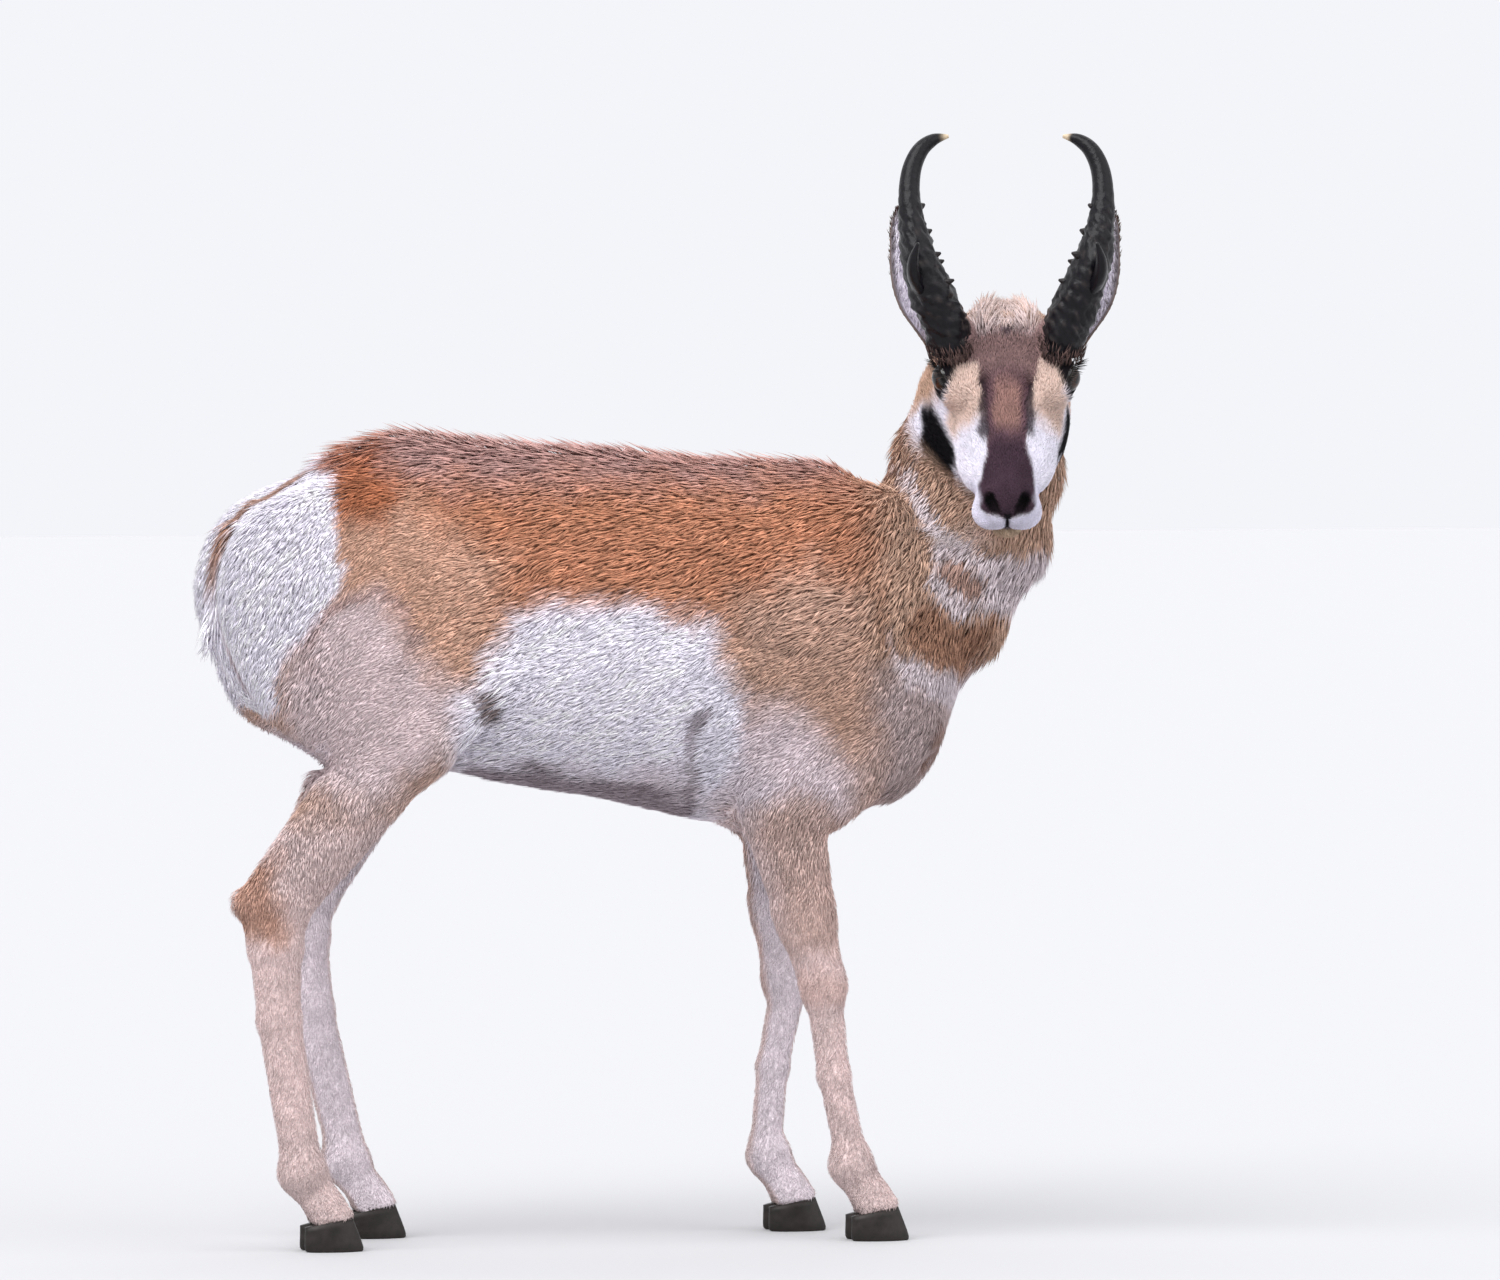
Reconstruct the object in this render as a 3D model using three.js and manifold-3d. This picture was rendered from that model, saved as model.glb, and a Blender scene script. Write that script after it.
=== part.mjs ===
// A pronghorn buck standing broadside, its head turned to look over its right side.
// Millimetres, +Z up, the body heading +X, the right flank towards -Y, the floor at Z = 0.
// The flesh is one smooth field of named muscles and bones, walked out to the tips of the coat,
// which is turned into a surface, thinned, and parted into nodes by thin flat cuts.
import * as THREE from "three";
import Module from "manifold-3d";

const wasm = await Module();
wasm.setup();

// Driving dimensions
const GAP = 0.3;
const RIGHT = -1;
const LEFT = 1;
const SHIFT_X = 4.6;
const SHIFT_Y = 27.4;

const BODY_CELL = 6.5;
const HEAD_CELL = 2.8;
const BODY_TRIANGLES = 5600;
const HEAD_TRIANGLES = 3500;

// The head looks this far round from straight ahead, and its face line dips this far.
const HEAD_TURN = THREE.MathUtils.degToRad(103);
const FACE_DIP = THREE.MathUtils.degToRad(45);
const EYE_MIDDLE = [377, -110, 979];

const EYE_RADIUS = 19;
const EYE_SEAT = [2, 65, 5];
const EYE_LOOK = [0.38, 0.88, 0.27];

// Trunk stations: X, top line, belly line, half width.
const TRUNK = [
  [-455, 852, 600, 84],
  [-387, 893, 566, 118],
  [-305, 919, 543, 134],
  [-224, 912, 528, 142],
  [-150, 905, 512, 150],
  [-71, 900, 499, 156],
  [46, 889, 472, 154],
  [130, 886, 458, 142],
  [200, 883, 468, 122],
  [255, 850, 495, 98],
];
const TRUNK_CAP = 64;
const TRUNK_LOW_SWELL = 0.1;

// Neck stations: X, Y, Z, half depth seen from the side, half thickness.
const NECK = [
  [228, 0, 665, 122, 88],
  [310, -3, 735, 105, 77],
  [355, -9, 808, 102, 71],
  [368, -20, 885, 98, 67],
  [383, -32, 957, 82, 62],
];

// Leg joints as X, half track, Z. The right hind foot stands back, the right fore foot ahead.
const HIND = {
  right: {
    side: RIGHT,
    stifle: [-318, 98, 572],
    hock: [-468, 87, 383],
    cannon: [-459, 86, 262],
    fetlock: [-433, 85, 92],
    toe: [-396, 85, 34],
  },
  left: {
    side: LEFT,
    stifle: [-290, 98, 572],
    hock: [-404, 87, 383],
    cannon: [-388, 86, 262],
    fetlock: [-350, 85, 92],
    toe: [-313, 85, 34],
  },
};
const FORE = {
  right: {
    side: RIGHT,
    elbow: [122, 84, 470],
    knee: [172, 78, 290],
    cannon: [184, 77, 190],
    fetlock: [204, 76, 89],
    toe: [238, 76, 34],
  },
  left: {
    side: LEFT,
    elbow: [152, 84, 470],
    knee: [163, 78, 290],
    cannon: [149, 77, 190],
    fetlock: [143, 76, 89],
    toe: [177, 76, 34],
  },
};

// Hooves: two toes to a foot, each a narrow pointed box of horn.
const HOOF_LENGTH = 66;
const HOOF_WIDTH = 26;
const HOOF_SPREAD = 14.5;
const CORONET_FRONT = 40;
const CORONET_BACK = 27;

// Horns, seen from the front of the face: outward, upward, forward from the middle of the eyes,
// then half width across and half depth fore and aft.
const HORN = [
  [62, 34, 8, 23, 27],
  [68, 60, 17, 25, 30],
  [82, 92, 21, 25, 31],
  [98, 134, 22, 21, 30],
  [107, 176, 16, 15.5, 18],
  [110, 209, 6, 12.5, 13.5],
  [107, 238, -5, 11, 11.5],
  [97, 260, -14, 9.5, 10],
  [82, 272, -20, 7, 7.5],
  [65, 276, -23, 2, 2],
];
const PRONG = [
  [100, 106, 30, 9, 19],
  [105, 118, 54, 8, 14],
  [106, 136, 70, 6, 9],
  [101, 155, 79, 1.8, 2.2],
];
const HORN_BURRS = 4;
const FIRST_BURR_RING = 5;
const SEAT_DEPTH = 0.3;
const SEAT_ROOM = 3.4;
const HORN_RINGS = 17;
const HORN_SIDES = 11;

// Ears, in the same face frame: outward, upward, forward, half width.
const EAR = [
  [66, 34, -40, 15],
  [79, 58, -46, 18],
  [94, 92, -52, 24],
  [103, 126, -57, 26],
  [110, 156, -60, 23],
  [115, 180, -61, 15],
  [119, 195, -60, 3],
];
const EAR_THICKNESS = 3.2;

// Vectors as plain arrays
const add = (a, b) => [a[0] + b[0], a[1] + b[1], a[2] + b[2]];
const sub = (a, b) => [a[0] - b[0], a[1] - b[1], a[2] - b[2]];
const times = (a, k) => [a[0] * k, a[1] * k, a[2] * k];
const dot = (a, b) => a[0] * b[0] + a[1] * b[1] + a[2] * b[2];
const unit = (a) => times(a, 1 / Math.sqrt(dot(a, a)));
const mix = (a, b, t) => a + (b - a) * t;
const mixPoint = (a, b, t) => add(a, times(sub(b, a), t));
const cross = (a, b) => [
  a[1] * b[2] - a[2] * b[1],
  a[2] * b[0] - a[0] * b[2],
  a[0] * b[1] - a[1] * b[0],
];
const clamp = (x, low, high) => Math.min(high, Math.max(low, x));

// The face frame: ahead is where the animal looks, across runs to its own left.
const AHEAD = [Math.cos(HEAD_TURN), -Math.sin(HEAD_TURN), 0];
const ACROSS = [Math.sin(HEAD_TURN), Math.cos(HEAD_TURN), 0];
const UP = [0, 0, 1];
const NOSEWARD = add(times(AHEAD, Math.cos(FACE_DIP)), times(UP, -Math.sin(FACE_DIP)));
const BROWWARD = add(times(AHEAD, Math.sin(FACE_DIP)), times(UP, Math.cos(FACE_DIP)));
const HEAD_AXES = [NOSEWARD, ACROSS, BROWWARD];

// A point of the head from its distances towards the nose, across, and out of the brow.
function onHead(nose, across, brow) {
  const flat = add(times(NOSEWARD, nose), times(ACROSS, across));
  return add(EYE_MIDDLE, add(flat, times(BROWWARD, brow)));
}

// A point near the head from its distances outward on one side, upward and forward.
function onFace(side, out, up, forward) {
  const flat = add(times(ACROSS, side * out), times(UP, up));
  return add(EYE_MIDDLE, add(flat, times(AHEAD, forward)));
}

// Repeatable noise in 0 to 1 for each seed
function seeded(seed) {
  let state = seed;
  return () => {
    state = (state * 1664525 + 1013904223) % 4294967296;
    return state / 4294967296;
  };
}

// Distance fields: each maker returns a function of x, y, z that is below zero inside.

function scaledDistance(a, b, c, ra, rb, rc) {
  const na = a / ra;
  const nb = b / rb;
  const nc = c / rc;
  const near = Math.sqrt(na * na + nb * nb + nc * nc);
  const ga = na / ra;
  const gb = nb / rb;
  const gc = nc / rc;
  const slope = Math.sqrt(ga * ga + gb * gb + gc * gc);
  return slope < 1e-9 ? -Math.min(ra, rb, rc) : (near * (near - 1)) / slope;
}

const ACROSS_BODY = [0, 1, 0];
const WORLD_AXES = [
  [1, 0, 0],
  [0, 1, 0],
  [0, 0, 1],
];

function ball(centre, radii, axes = WORLD_AXES) {
  const [e, f, g] = axes;
  return (x, y, z) => {
    const p = [x - centre[0], y - centre[1], z - centre[2]];
    return scaledDistance(dot(p, e), dot(p, f), dot(p, g), ...radii);
  };
}

// A tapering bone from a to b, each end with a half depth along the given direction
// and a half thickness across it.
function bone(a, b, depths, widths, depthAlong = [1, 0, 0]) {
  const line = sub(b, a);
  const length = Math.sqrt(dot(line, line));
  const axis = times(line, 1 / length);
  const deep = unit(sub(depthAlong, times(axis, dot(depthAlong, axis))));
  const thin = cross(axis, deep);
  return (x, y, z) => {
    const p = [x - a[0], y - a[1], z - a[2]];
    const along = dot(p, axis);
    const t = clamp(along / length, 0, 1);
    const depth = mix(depths[0], depths[1], t);
    const width = mix(widths[0], widths[1], t);
    const cap = Math.min(depth, width);
    return scaledDistance(along - t * length, dot(p, deep), dot(p, thin), cap, depth, width);
  };
}

// A smooth value of each column of a station table at x
function stationCurve(table) {
  const xs = table.map((row) => row[0]);
  const slopes = table.map((row, i) => {
    const before = table[Math.max(0, i - 1)];
    const after = table[Math.min(table.length - 1, i + 1)];
    return row.map((value, k) => (after[k] - before[k]) / (after[0] - before[0]));
  });
  return (x) => {
    const held = clamp(x, xs[0], xs[xs.length - 1]);
    let i = 0;
    while (i < xs.length - 2 && held > xs[i + 1]) i += 1;
    const span = xs[i + 1] - xs[i];
    const t = (held - xs[i]) / span;
    const h1 = t * t * (3 - 2 * t);
    const h2 = t * (1 - t) * (1 - t) * span;
    const h3 = t * t * (t - 1) * span;
    return table[i].map(
      (value, k) =>
        value * (1 - h1) + table[i + 1][k] * h1 + slopes[i][k] * h2 + slopes[i + 1][k] * h3,
    );
  };
}

function trunk() {
  const at = stationCurve(TRUNK);
  const first = TRUNK[0][0];
  const last = TRUNK[TRUNK.length - 1][0];
  return (x, y, z) => {
    const [, top, bottom, halfWidth] = at(x);
    const middle = (top + bottom) / 2;
    const tall = (top - bottom) / 2;
    const drop = clamp((middle - z) / tall, -1, 1);
    const width = halfWidth * (1 + TRUNK_LOW_SWELL * drop);
    return scaledDistance(x - clamp(x, first, last), y, z - middle, TRUNK_CAP, width, tall);
  };
}

function smoothUnion(a, b, k) {
  const h = Math.max(k - Math.abs(a - b), 0) / k;
  return Math.min(a, b) - (h * h * k) / 4;
}

function smoothCut(a, b, k) {
  return -smoothUnion(-a, b, k);
}

// Forms of the flesh as [field, blend], joined in order
const atSide = (point, side) => [point[0], side * point[1], point[2]];

function haunch(leg) {
  const s = leg.side;
  const lead = leg.stifle[0] - HIND.right.stifle[0];
  return [
    [ball([-394, s * 72, 742], [134, 68, 128]), 40],
    [ball([-402, s * 80, 656], [94, 54, 88]), 30],
    [ball([-338 + lead / 2, s * 92, 632], [112, 52, 104]), 30],
    [bone([-290 + lead / 2, s * 100, 592], [-208, s * 124, 648], [46, 16], [22, 12], UP), 30],
  ];
}

function hindLeg(leg) {
  const s = leg.side;
  const stifle = atSide(leg.stifle, s);
  const hock = atSide(leg.hock, s);
  const cannon = atSide(leg.cannon, s);
  const fetlock = atSide(leg.fetlock, s);
  const heel = add(hock, [-31, 0, 12]);
  return [
    [bone(stifle, add(hock, [13, 0, 17]), [55, 39], [42, 24]), 26],
    [ball(add(stifle, [8, 0, 2]), [42, 38, 48]), 24],
    [bone(add(stifle, [-88, 0, -50]), heel, [18, 11], [20, 12]), 16],
    [ball(heel, [15, 14, 18]), 10],
    [bone(add(hock, [3, 0, 8]), add(hock, [5, 0, -40]), [42, 33], [26, 24]), 14],
    [bone(add(hock, [5, 0, -40]), cannon, [31, 26], [24, 20]), 10],
    [bone(cannon, add(fetlock, [-3, 0, 26]), [26, 24], [20, 18.5]), 10],
    ...foot(leg, fetlock, 29, 25),
  ];
}

function shoulder(leg) {
  const s = leg.side;
  return [
    [bone([205, s * 62, 812], [262, s * 84, 640], [80, 66], [46, 46]), 40],
    [ball([178, s * 92, 640], [92, 46, 118]), 36],
    [bone([262, s * 82, 606], [160, s * 88, 520], [64, 60], [42, 40]), 34],
    [ball([120, s * 92, 520], [54, 38, 62]), 30],
  ];
}

function foreLeg(leg) {
  const s = leg.side;
  const elbow = atSide(leg.elbow, s);
  const knee = atSide(leg.knee, s);
  const cannon = atSide(leg.cannon, s);
  const fetlock = atSide(leg.fetlock, s);
  return [
    [bone(add(elbow, [4, 0, 10]), mixPoint(elbow, knee, 0.6), [50, 33], [37, 27]), 22],
    [bone(mixPoint(elbow, knee, 0.5), knee, [36, 26], [29, 23]), 14],
    [ball(knee, [27, 25, 34]), 12],
    [bone(add(knee, [2, 0, -20]), cannon, [22, 19.5], [20, 17.5]), 10],
    [bone(cannon, add(fetlock, [-2, 0, 20]), [19.5, 19.5], [17.5, 17.5]), 10],
    ...foot(leg, fetlock, 26, 23.5),
  ];
}

function foot(leg, fetlock, depth, width) {
  const toe = atSide(leg.toe, leg.side);
  const forms = [
    [ball(fetlock, [depth, width, depth + 1]), 12],
    [bone(add(fetlock, [1, 0, -6]), add(toe, [-9, 0, 14]), [23, 24], [20, 22]), 16],
  ];
  for (const inOut of [-1, 1]) {
    const tip = add(toe, [-2, inOut * HOOF_SPREAD, 0]);
    forms.push([bone(add(toe, [-16, inOut * 9, 26]), tip, [21, 27], [13, 13.4]), 8]);
  }
  return forms;
}

function neckForms() {
  const forms = [];
  for (let i = 0; i < NECK.length - 1; i += 1) {
    const [ax, ay, az, ad, aw] = NECK[i];
    const [bx, by, bz, bd, bw] = NECK[i + 1];
    forms.push([bone([ax, ay, az], [bx, by, bz], [ad, bd], [aw, bw]), i === 0 ? 60 : 30]);
  }
  const nape = onHead(-72, 0, -28);
  forms.push([bone([383, -32, 957], nape, [78, 56], [62, 54]), 30]);
  forms.push([ball([262, 0, 590], [62, 70, 84]), 40]);
  return forms;
}

function headBall(nose, across, brow, radii) {
  return ball(onHead(nose, across, brow), radii, HEAD_AXES);
}

function headBone(a, b, depths, widths) {
  return bone(onHead(...a), onHead(...b), depths, widths, BROWWARD);
}

function headForms() {
  const forms = [
    [headBall(-42, 0, -8, [60, 58, 46]), 24],
    [headBall(0, 0, 6, [50, 58, 34]), 24],
    [headBone([12, 0, -10], [138, 0, -36], [40, 25], [50, 27]), 22],
    [headBone([-4, 0, -60], [140, 0, -78], [36, 17], [50, 26]), 18],
    [headBall(146, 0, -50, [30, 36, 29]), 14],
    [headBall(145, 0, -86, [21, 19, 14]), 8],
  ];
  for (const s of [RIGHT, LEFT]) {
    forms.push([headBall(3, s * 54, 2, [36, 26, 28]), 14]);
    forms.push([headBall(18, s * 42, -56, [58, 29, 44]), 20]);
    forms.push([headBall(66, s * 34, -44, [62, 24, 32]), 20]);
    forms.push([headBall(146, s * 18, -64, [26, 23, 18]), 8]);
    forms.push([headBall(-28, s * 56, 34, [30, 23, 27]), 14]);
    forms.push([headBall(-60, s * 64, 6, [24, 18, 24]), 14]);
  }
  return forms;
}

// Hollows cut out of the head: nostrils, the line of the mouth, the groove under the nose
function headHollows() {
  const hollows = [[headBone([176, 0, -52], [168, 0, -72], [5, 4], [1.8, 1.6]), 3]];
  for (const s of [RIGHT, LEFT]) {
    hollows.push([headBone([176, s * 11, -44], [158, s * 21, -30], [4.5, 4], [5, 4]), 4]);
    hollows.push([headBone([172, s * 2, -75], [150, s * 40, -76], [2.2, 2.2], [6, 6]), 3]);
    hollows.push([headBone([150, s * 40, -76], [100, s * 44, -66], [2.2, 1.6], [6, 9]), 3]);
    hollows.push([headBone([32, s * 27, 26], [86, s * 24, 11], [6, 5], [5, 4]), 12]);
  }
  return hollows;
}

// Lids stand round each eye, with an almond opening
function lids(side) {
  const seat = onHead(EYE_SEAT[0], side * EYE_SEAT[1], EYE_SEAT[2]);
  const look = eyeLook(side);
  const opening = add(seat, times(look, EYE_RADIUS + 1));
  return {
    rim: ball(seat, [23.5, 22, 22.5], HEAD_AXES),
    opening: ball(opening, [19.5, 14, 14.5], eyeAxes(side)),
  };
}

function eyeLook(side) {
  const [nose, across, brow] = EYE_LOOK;
  const flat = add(times(NOSEWARD, nose), times(ACROSS, side * across));
  return unit(add(flat, times(BROWWARD, brow)));
}

function eyeAxes(side) {
  const look = eyeLook(side);
  const along = unit(sub(NOSEWARD, times(look, dot(NOSEWARD, look))));
  return [along, look, cross(along, look)];
}

// Creases of the trunk, soft furrows along the surface: ends, radius, blend
function creases() {
  const furrows = [];
  for (const s of [RIGHT, LEFT]) {
    furrows.push([bone([64, s * 158, 610], [68, s * 150, 500], [6, 6], [8, 8]), 24]);
    furrows.push([bone([-196, s * 156, 628], [-214, s * 150, 596], [10, 8], [12, 8]), 16]);
  }
  return furrows;
}

const TAIL = bone([-486, 0, 806], [-520, 0, 694], [17, 9], [29, 15]);

const bodyForms = [
  ...haunch(HIND.right),
  ...haunch(HIND.left),
  ...shoulder(FORE.right),
  ...shoulder(FORE.left),
  ...neckForms(),
  ...hindLeg(HIND.right),
  ...hindLeg(HIND.left),
  ...foreLeg(FORE.right),
  ...foreLeg(FORE.left),
];
const trunkField = trunk();
const furrows = creases();
const skullForms = headForms();
const hollows = headHollows();
const lidForms = [lids(RIGHT), lids(LEFT)];

function bodyField(x, y, z) {
  let d = trunkField(x, y, z);
  for (const [form, blend] of bodyForms) d = smoothUnion(d, form(x, y, z), blend);
  for (const [form, blend] of furrows) d = smoothCut(d, form(x, y, z), blend);
  return smoothUnion(d, TAIL(x, y, z), 4);
}

function headField(x, y, z) {
  let d = 1e3;
  for (const [form, blend] of skullForms) d = smoothUnion(d, form(x, y, z), blend);
  for (const [form, blend] of hollows) d = smoothCut(d, form(x, y, z), blend);
  for (const { rim, opening } of lidForms) {
    d = smoothUnion(d, rim(x, y, z), 5);
    d = smoothCut(d, opening(x, y, z), 2);
  }
  return d;
}

function wholeField(x, y, z) {
  const p = sub([x, y, z], EYE_MIDDLE);
  const body = bodyField(x, y, z);
  if (dot(p, p) > 330 * 330) return body;
  return smoothUnion(body, headField(x, y, z), 34);
}

// Surface of a field inside a box, by cutting each grid cube into six tetrahedra
function surfaceOf(field, low, high, cell) {
  const n = [0, 1, 2].map((k) => Math.ceil((high[k] - low[k]) / cell) + 1);
  const index = (i, j, k) => i + n[0] * (j + n[1] * k);
  const at = (i, j, k) => [low[0] + i * cell, low[1] + j * cell, low[2] + k * cell];
  const values = new Float32Array(n[0] * n[1] * n[2]).fill(1);
  const block = 4;
  const reach = block * cell * 1.8;
  for (let k = 0; k < n[2]; k += block) {
    for (let j = 0; j < n[1]; j += block) {
      for (let i = 0; i < n[0]; i += block) {
        const [x, y, z] = at(i + block / 2, j + block / 2, k + block / 2);
        const middle = field(x, y, z);
        const far = Math.abs(middle) > reach;
        for (let c = k; c < Math.min(k + block, n[2]); c += 1) {
          for (let b = j; b < Math.min(j + block, n[1]); b += 1) {
            for (let a = i; a < Math.min(i + block, n[0]); a += 1) {
              const inRim = a > 0 && b > 0 && c > 0 && a < n[0] - 1 && b < n[1] - 1 && c < n[2] - 1;
              const exact = far ? middle : field(...at(a, b, c));
              values[index(a, b, c)] = inRim ? exact || 1e-6 : 1;
            }
          }
        }
      }
    }
  }
  const points = [];
  const faces = [];
  const made = new Map();
  const position = (v) => {
    const i = v % n[0];
    const j = Math.floor(v / n[0]) % n[1];
    return at(i, j, Math.floor(v / (n[0] * n[1])));
  };
  const edgePoint = (a, b) => {
    const [p, q] = a < b ? [a, b] : [b, a];
    const key = p * n[0] * n[1] * 2 + (q - p);
    if (!made.has(key)) {
      const t = clamp(values[p] / (values[p] - values[q]), 0.02, 0.98);
      points.push(mixPoint(position(p), position(q), t));
      made.set(key, points.length - 1);
    }
    return made.get(key);
  };
  const paths = [
    [0, 1, 3, 7],
    [0, 3, 2, 7],
    [0, 2, 6, 7],
    [0, 6, 4, 7],
    [0, 4, 5, 7],
    [0, 5, 1, 7],
  ];
  for (let k = 0; k < n[2] - 1; k += 1) {
    for (let j = 0; j < n[1] - 1; j += 1) {
      for (let i = 0; i < n[0] - 1; i += 1) {
        const corner = [];
        let inside = 0;
        for (let c = 0; c < 8; c += 1) {
          corner.push(index(i + (c & 1), j + ((c >> 1) & 1), k + (c >> 2)));
          inside += values[corner[c]] < 0 ? 1 : 0;
        }
        if (inside === 0 || inside === 8) continue;
        for (const path of paths) addTetrahedron(path.map((c) => corner[c]));
      }
    }
  }
  function addTetrahedron(four) {
    const within = four.filter((v) => values[v] < 0);
    const outside = four.filter((v) => values[v] >= 0);
    if (within.length === 1) addFace(within, outside.map((v) => edgePoint(within[0], v)));
    if (within.length === 3) addFace(within, within.map((v) => edgePoint(outside[0], v)));
    if (within.length === 2) {
      const [a, b] = within;
      const [c, d] = outside;
      addFace(within, [edgePoint(a, c), edgePoint(a, d), edgePoint(b, d)]);
      addFace(within, [edgePoint(a, c), edgePoint(b, d), edgePoint(b, c)]);
    }
  }
  function addFace(within, [a, b, c]) {
    const normal = cross(sub(points[b], points[a]), sub(points[c], points[a]));
    const inward = sub(position(within[0]), points[a]);
    faces.push(dot(normal, inward) > 0 ? [a, c, b] : [a, b, c]);
  }
  return { points, faces };
}

// Thins a closed surface to a number of triangles, always taking the edge whose removal
// strays least from the faces around it.
function thin({ points, faces }, target) {
  const quadrics = points.map(() => new Float64Array(10));
  const around = points.map(() => new Set());
  const live = faces.map(() => true);
  const stamp = new Int32Array(points.length);
  faces.forEach((face, id) => {
    const [a, b, c] = face.map((v) => points[v]);
    const crossed = cross(sub(b, a), sub(c, a));
    const size = Math.sqrt(dot(crossed, crossed)) || 1e-9;
    const [x, y, z] = times(crossed, 1 / size);
    const w = -dot([x, y, z], a);
    const terms = [x * x, x * y, x * z, x * w, y * y, y * z, y * w, z * z, z * w, w * w];
    for (const v of face) {
      around[v].add(id);
      for (let i = 0; i < 10; i += 1) quadrics[v][i] += terms[i] * size;
    }
  });
  const strayed = (q, [x, y, z]) =>
    q[0] * x * x + 2 * q[1] * x * y + 2 * q[2] * x * z + 2 * q[3] * x + q[4] * y * y +
    2 * q[5] * y * z + 2 * q[6] * y + q[7] * z * z + 2 * q[8] * z + q[9];
  const best = (q, a, b) => {
    const d = q[0] * (q[4] * q[7] - q[5] * q[5]) - q[1] * (q[1] * q[7] - q[5] * q[2]) +
      q[2] * (q[1] * q[5] - q[4] * q[2]);
    const scale = q[0] + q[4] + q[7];
    const choices = [mixPoint(a, b, 0.5), a, b];
    if (Math.abs(d) > 1e-3 * scale ** 3) {
      const [x, y, z] = [-q[3], -q[6], -q[8]];
      choices.unshift([
        (x * (q[4] * q[7] - q[5] * q[5]) - q[1] * (y * q[7] - q[5] * z) + q[2] * (y * q[5] - q[4] * z)) / d,
        (q[0] * (y * q[7] - z * q[5]) - x * (q[1] * q[7] - q[5] * q[2]) + q[2] * (q[1] * z - y * q[2])) / d,
        (q[0] * (q[4] * z - q[5] * y) - q[1] * (q[1] * z - y * q[2]) + x * (q[1] * q[5] - q[4] * q[2])) / d,
      ]);
    }
    let chosen = choices[0];
    let least = Infinity;
    for (const point of choices) {
      const cost = strayed(q, point);
      if (cost < least) {
        least = cost;
        chosen = point;
      }
    }
    const edge = sub(b, a);
    return { point: chosen, cost: least + 1e-4 * dot(edge, edge) };
  };
  const heap = [];
  const push = (item) => {
    let i = heap.length;
    heap.push(item);
    while (i > 0) {
      const parent = (i - 1) >> 1;
      if (heap[parent].cost <= item.cost) break;
      heap[i] = heap[parent];
      i = parent;
    }
    heap[i] = item;
  };
  const pop = () => {
    const top = heap[0];
    const item = heap.pop();
    if (heap.length) {
      let i = 0;
      for (;;) {
        let child = 2 * i + 1;
        if (child >= heap.length) break;
        if (child + 1 < heap.length && heap[child + 1].cost < heap[child].cost) child += 1;
        if (heap[child].cost >= item.cost) break;
        heap[i] = heap[child];
        i = child;
      }
      heap[i] = item;
    }
    return top;
  };
  const offer = (a, b) => {
    const q = quadrics[a].map((value, i) => value + quadrics[b][i]);
    push({ a, b, sa: stamp[a], sb: stamp[b], ...best(q, points[a], points[b]) });
  };
  const neighbours = (v) => {
    const found = new Set();
    for (const id of around[v]) for (const w of faces[id]) if (w !== v) found.add(w);
    return found;
  };
  faces.forEach((face) => {
    for (let i = 0; i < 3; i += 1) {
      const [a, b] = [face[i], face[(i + 1) % 3]];
      if (a < b) offer(a, b);
    }
  });
  const turns = (v, skip, point) => {
    for (const id of around[v]) {
      const face = faces[id];
      if (face.includes(skip)) continue;
      const old = face.map((w) => points[w]);
      const now = face.map((w) => (w === v ? point : points[w]));
      const n0 = cross(sub(old[1], old[0]), sub(old[2], old[0]));
      const n1 = cross(sub(now[1], now[0]), sub(now[2], now[0]));
      const size = Math.sqrt(dot(n0, n0) * dot(n1, n1));
      if (dot(n1, n1) < 1e-6 || dot(n0, n1) < 0.25 * size) return true;
    }
    return false;
  };
  let count = faces.length;
  while (count > target && heap.length) {
    const { a, b, sa, sb, point } = pop();
    if (stamp[a] !== sa || stamp[b] !== sb || !around[a].size || !around[b].size) continue;
    const shared = [...neighbours(a)].filter((v) => neighbours(b).has(v));
    if (shared.length !== 2 || turns(a, b, point) || turns(b, a, point)) continue;
    points[a] = point;
    stamp[a] += 1;
    stamp[b] += 1;
    for (let i = 0; i < 10; i += 1) quadrics[a][i] += quadrics[b][i];
    for (const id of [...around[b]]) {
      const face = faces[id];
      if (face.includes(a)) {
        live[id] = false;
        count -= 1;
        for (const w of face) around[w].delete(id);
      } else {
        face[face.indexOf(b)] = a;
        around[a].add(id);
      }
    }
    around[b].clear();
    for (const v of neighbours(a)) offer(Math.min(a, v), Math.max(a, v));
  }
  const kept = faces.filter((face, id) => live[id]);
  const numbers = new Map();
  const used = [];
  for (const face of kept) {
    for (const v of face) {
      if (!numbers.has(v)) {
        numbers.set(v, used.length);
        used.push(points[v]);
      }
    }
  }
  return { points: used, faces: kept.map((face) => face.map((v) => numbers.get(v))) };
}

// Solids that can be joined and cut
function solidFrom({ points, faces }) {
  return new wasm.Manifold(
    new wasm.Mesh({
      numProp: 3,
      vertProperties: new Float32Array(points.flat()),
      triVerts: new Uint32Array(faces.flat()),
    }),
  );
}

function largest(solid) {
  const pieces = solid.decompose();
  return pieces.reduce((a, b) => (b.volume() > a.volume() ? b : a));
}

function boxSolid(low, high, turn = null) {
  const size = sub(high, low);
  const geometry = new THREE.BoxGeometry(...size);
  geometry.translate(...mixPoint(low, high, 0.5));
  if (turn) geometry.applyMatrix4(turn);
  return geometrySolid(geometry);
}

function geometrySolid(geometry) {
  const positions = geometry.attributes.position;
  const points = [];
  const seen = new Map();
  const number = [];
  for (let i = 0; i < positions.count; i += 1) {
    const point = [positions.getX(i), positions.getY(i), positions.getZ(i)];
    const key = point.map((v) => Math.round(v * 1e3)).join(" ");
    if (!seen.has(key)) {
      seen.set(key, points.length);
      points.push(point);
    }
    number.push(seen.get(key));
  }
  const order = [...geometry.index.array];
  const faces = [];
  for (let i = 0; i < order.length; i += 3) {
    const face = [0, 1, 2].map((k) => number[order[i + k]]);
    if (new Set(face).size === 3) faces.push(face);
  }
  return solidFrom({ points, faces });
}

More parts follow.
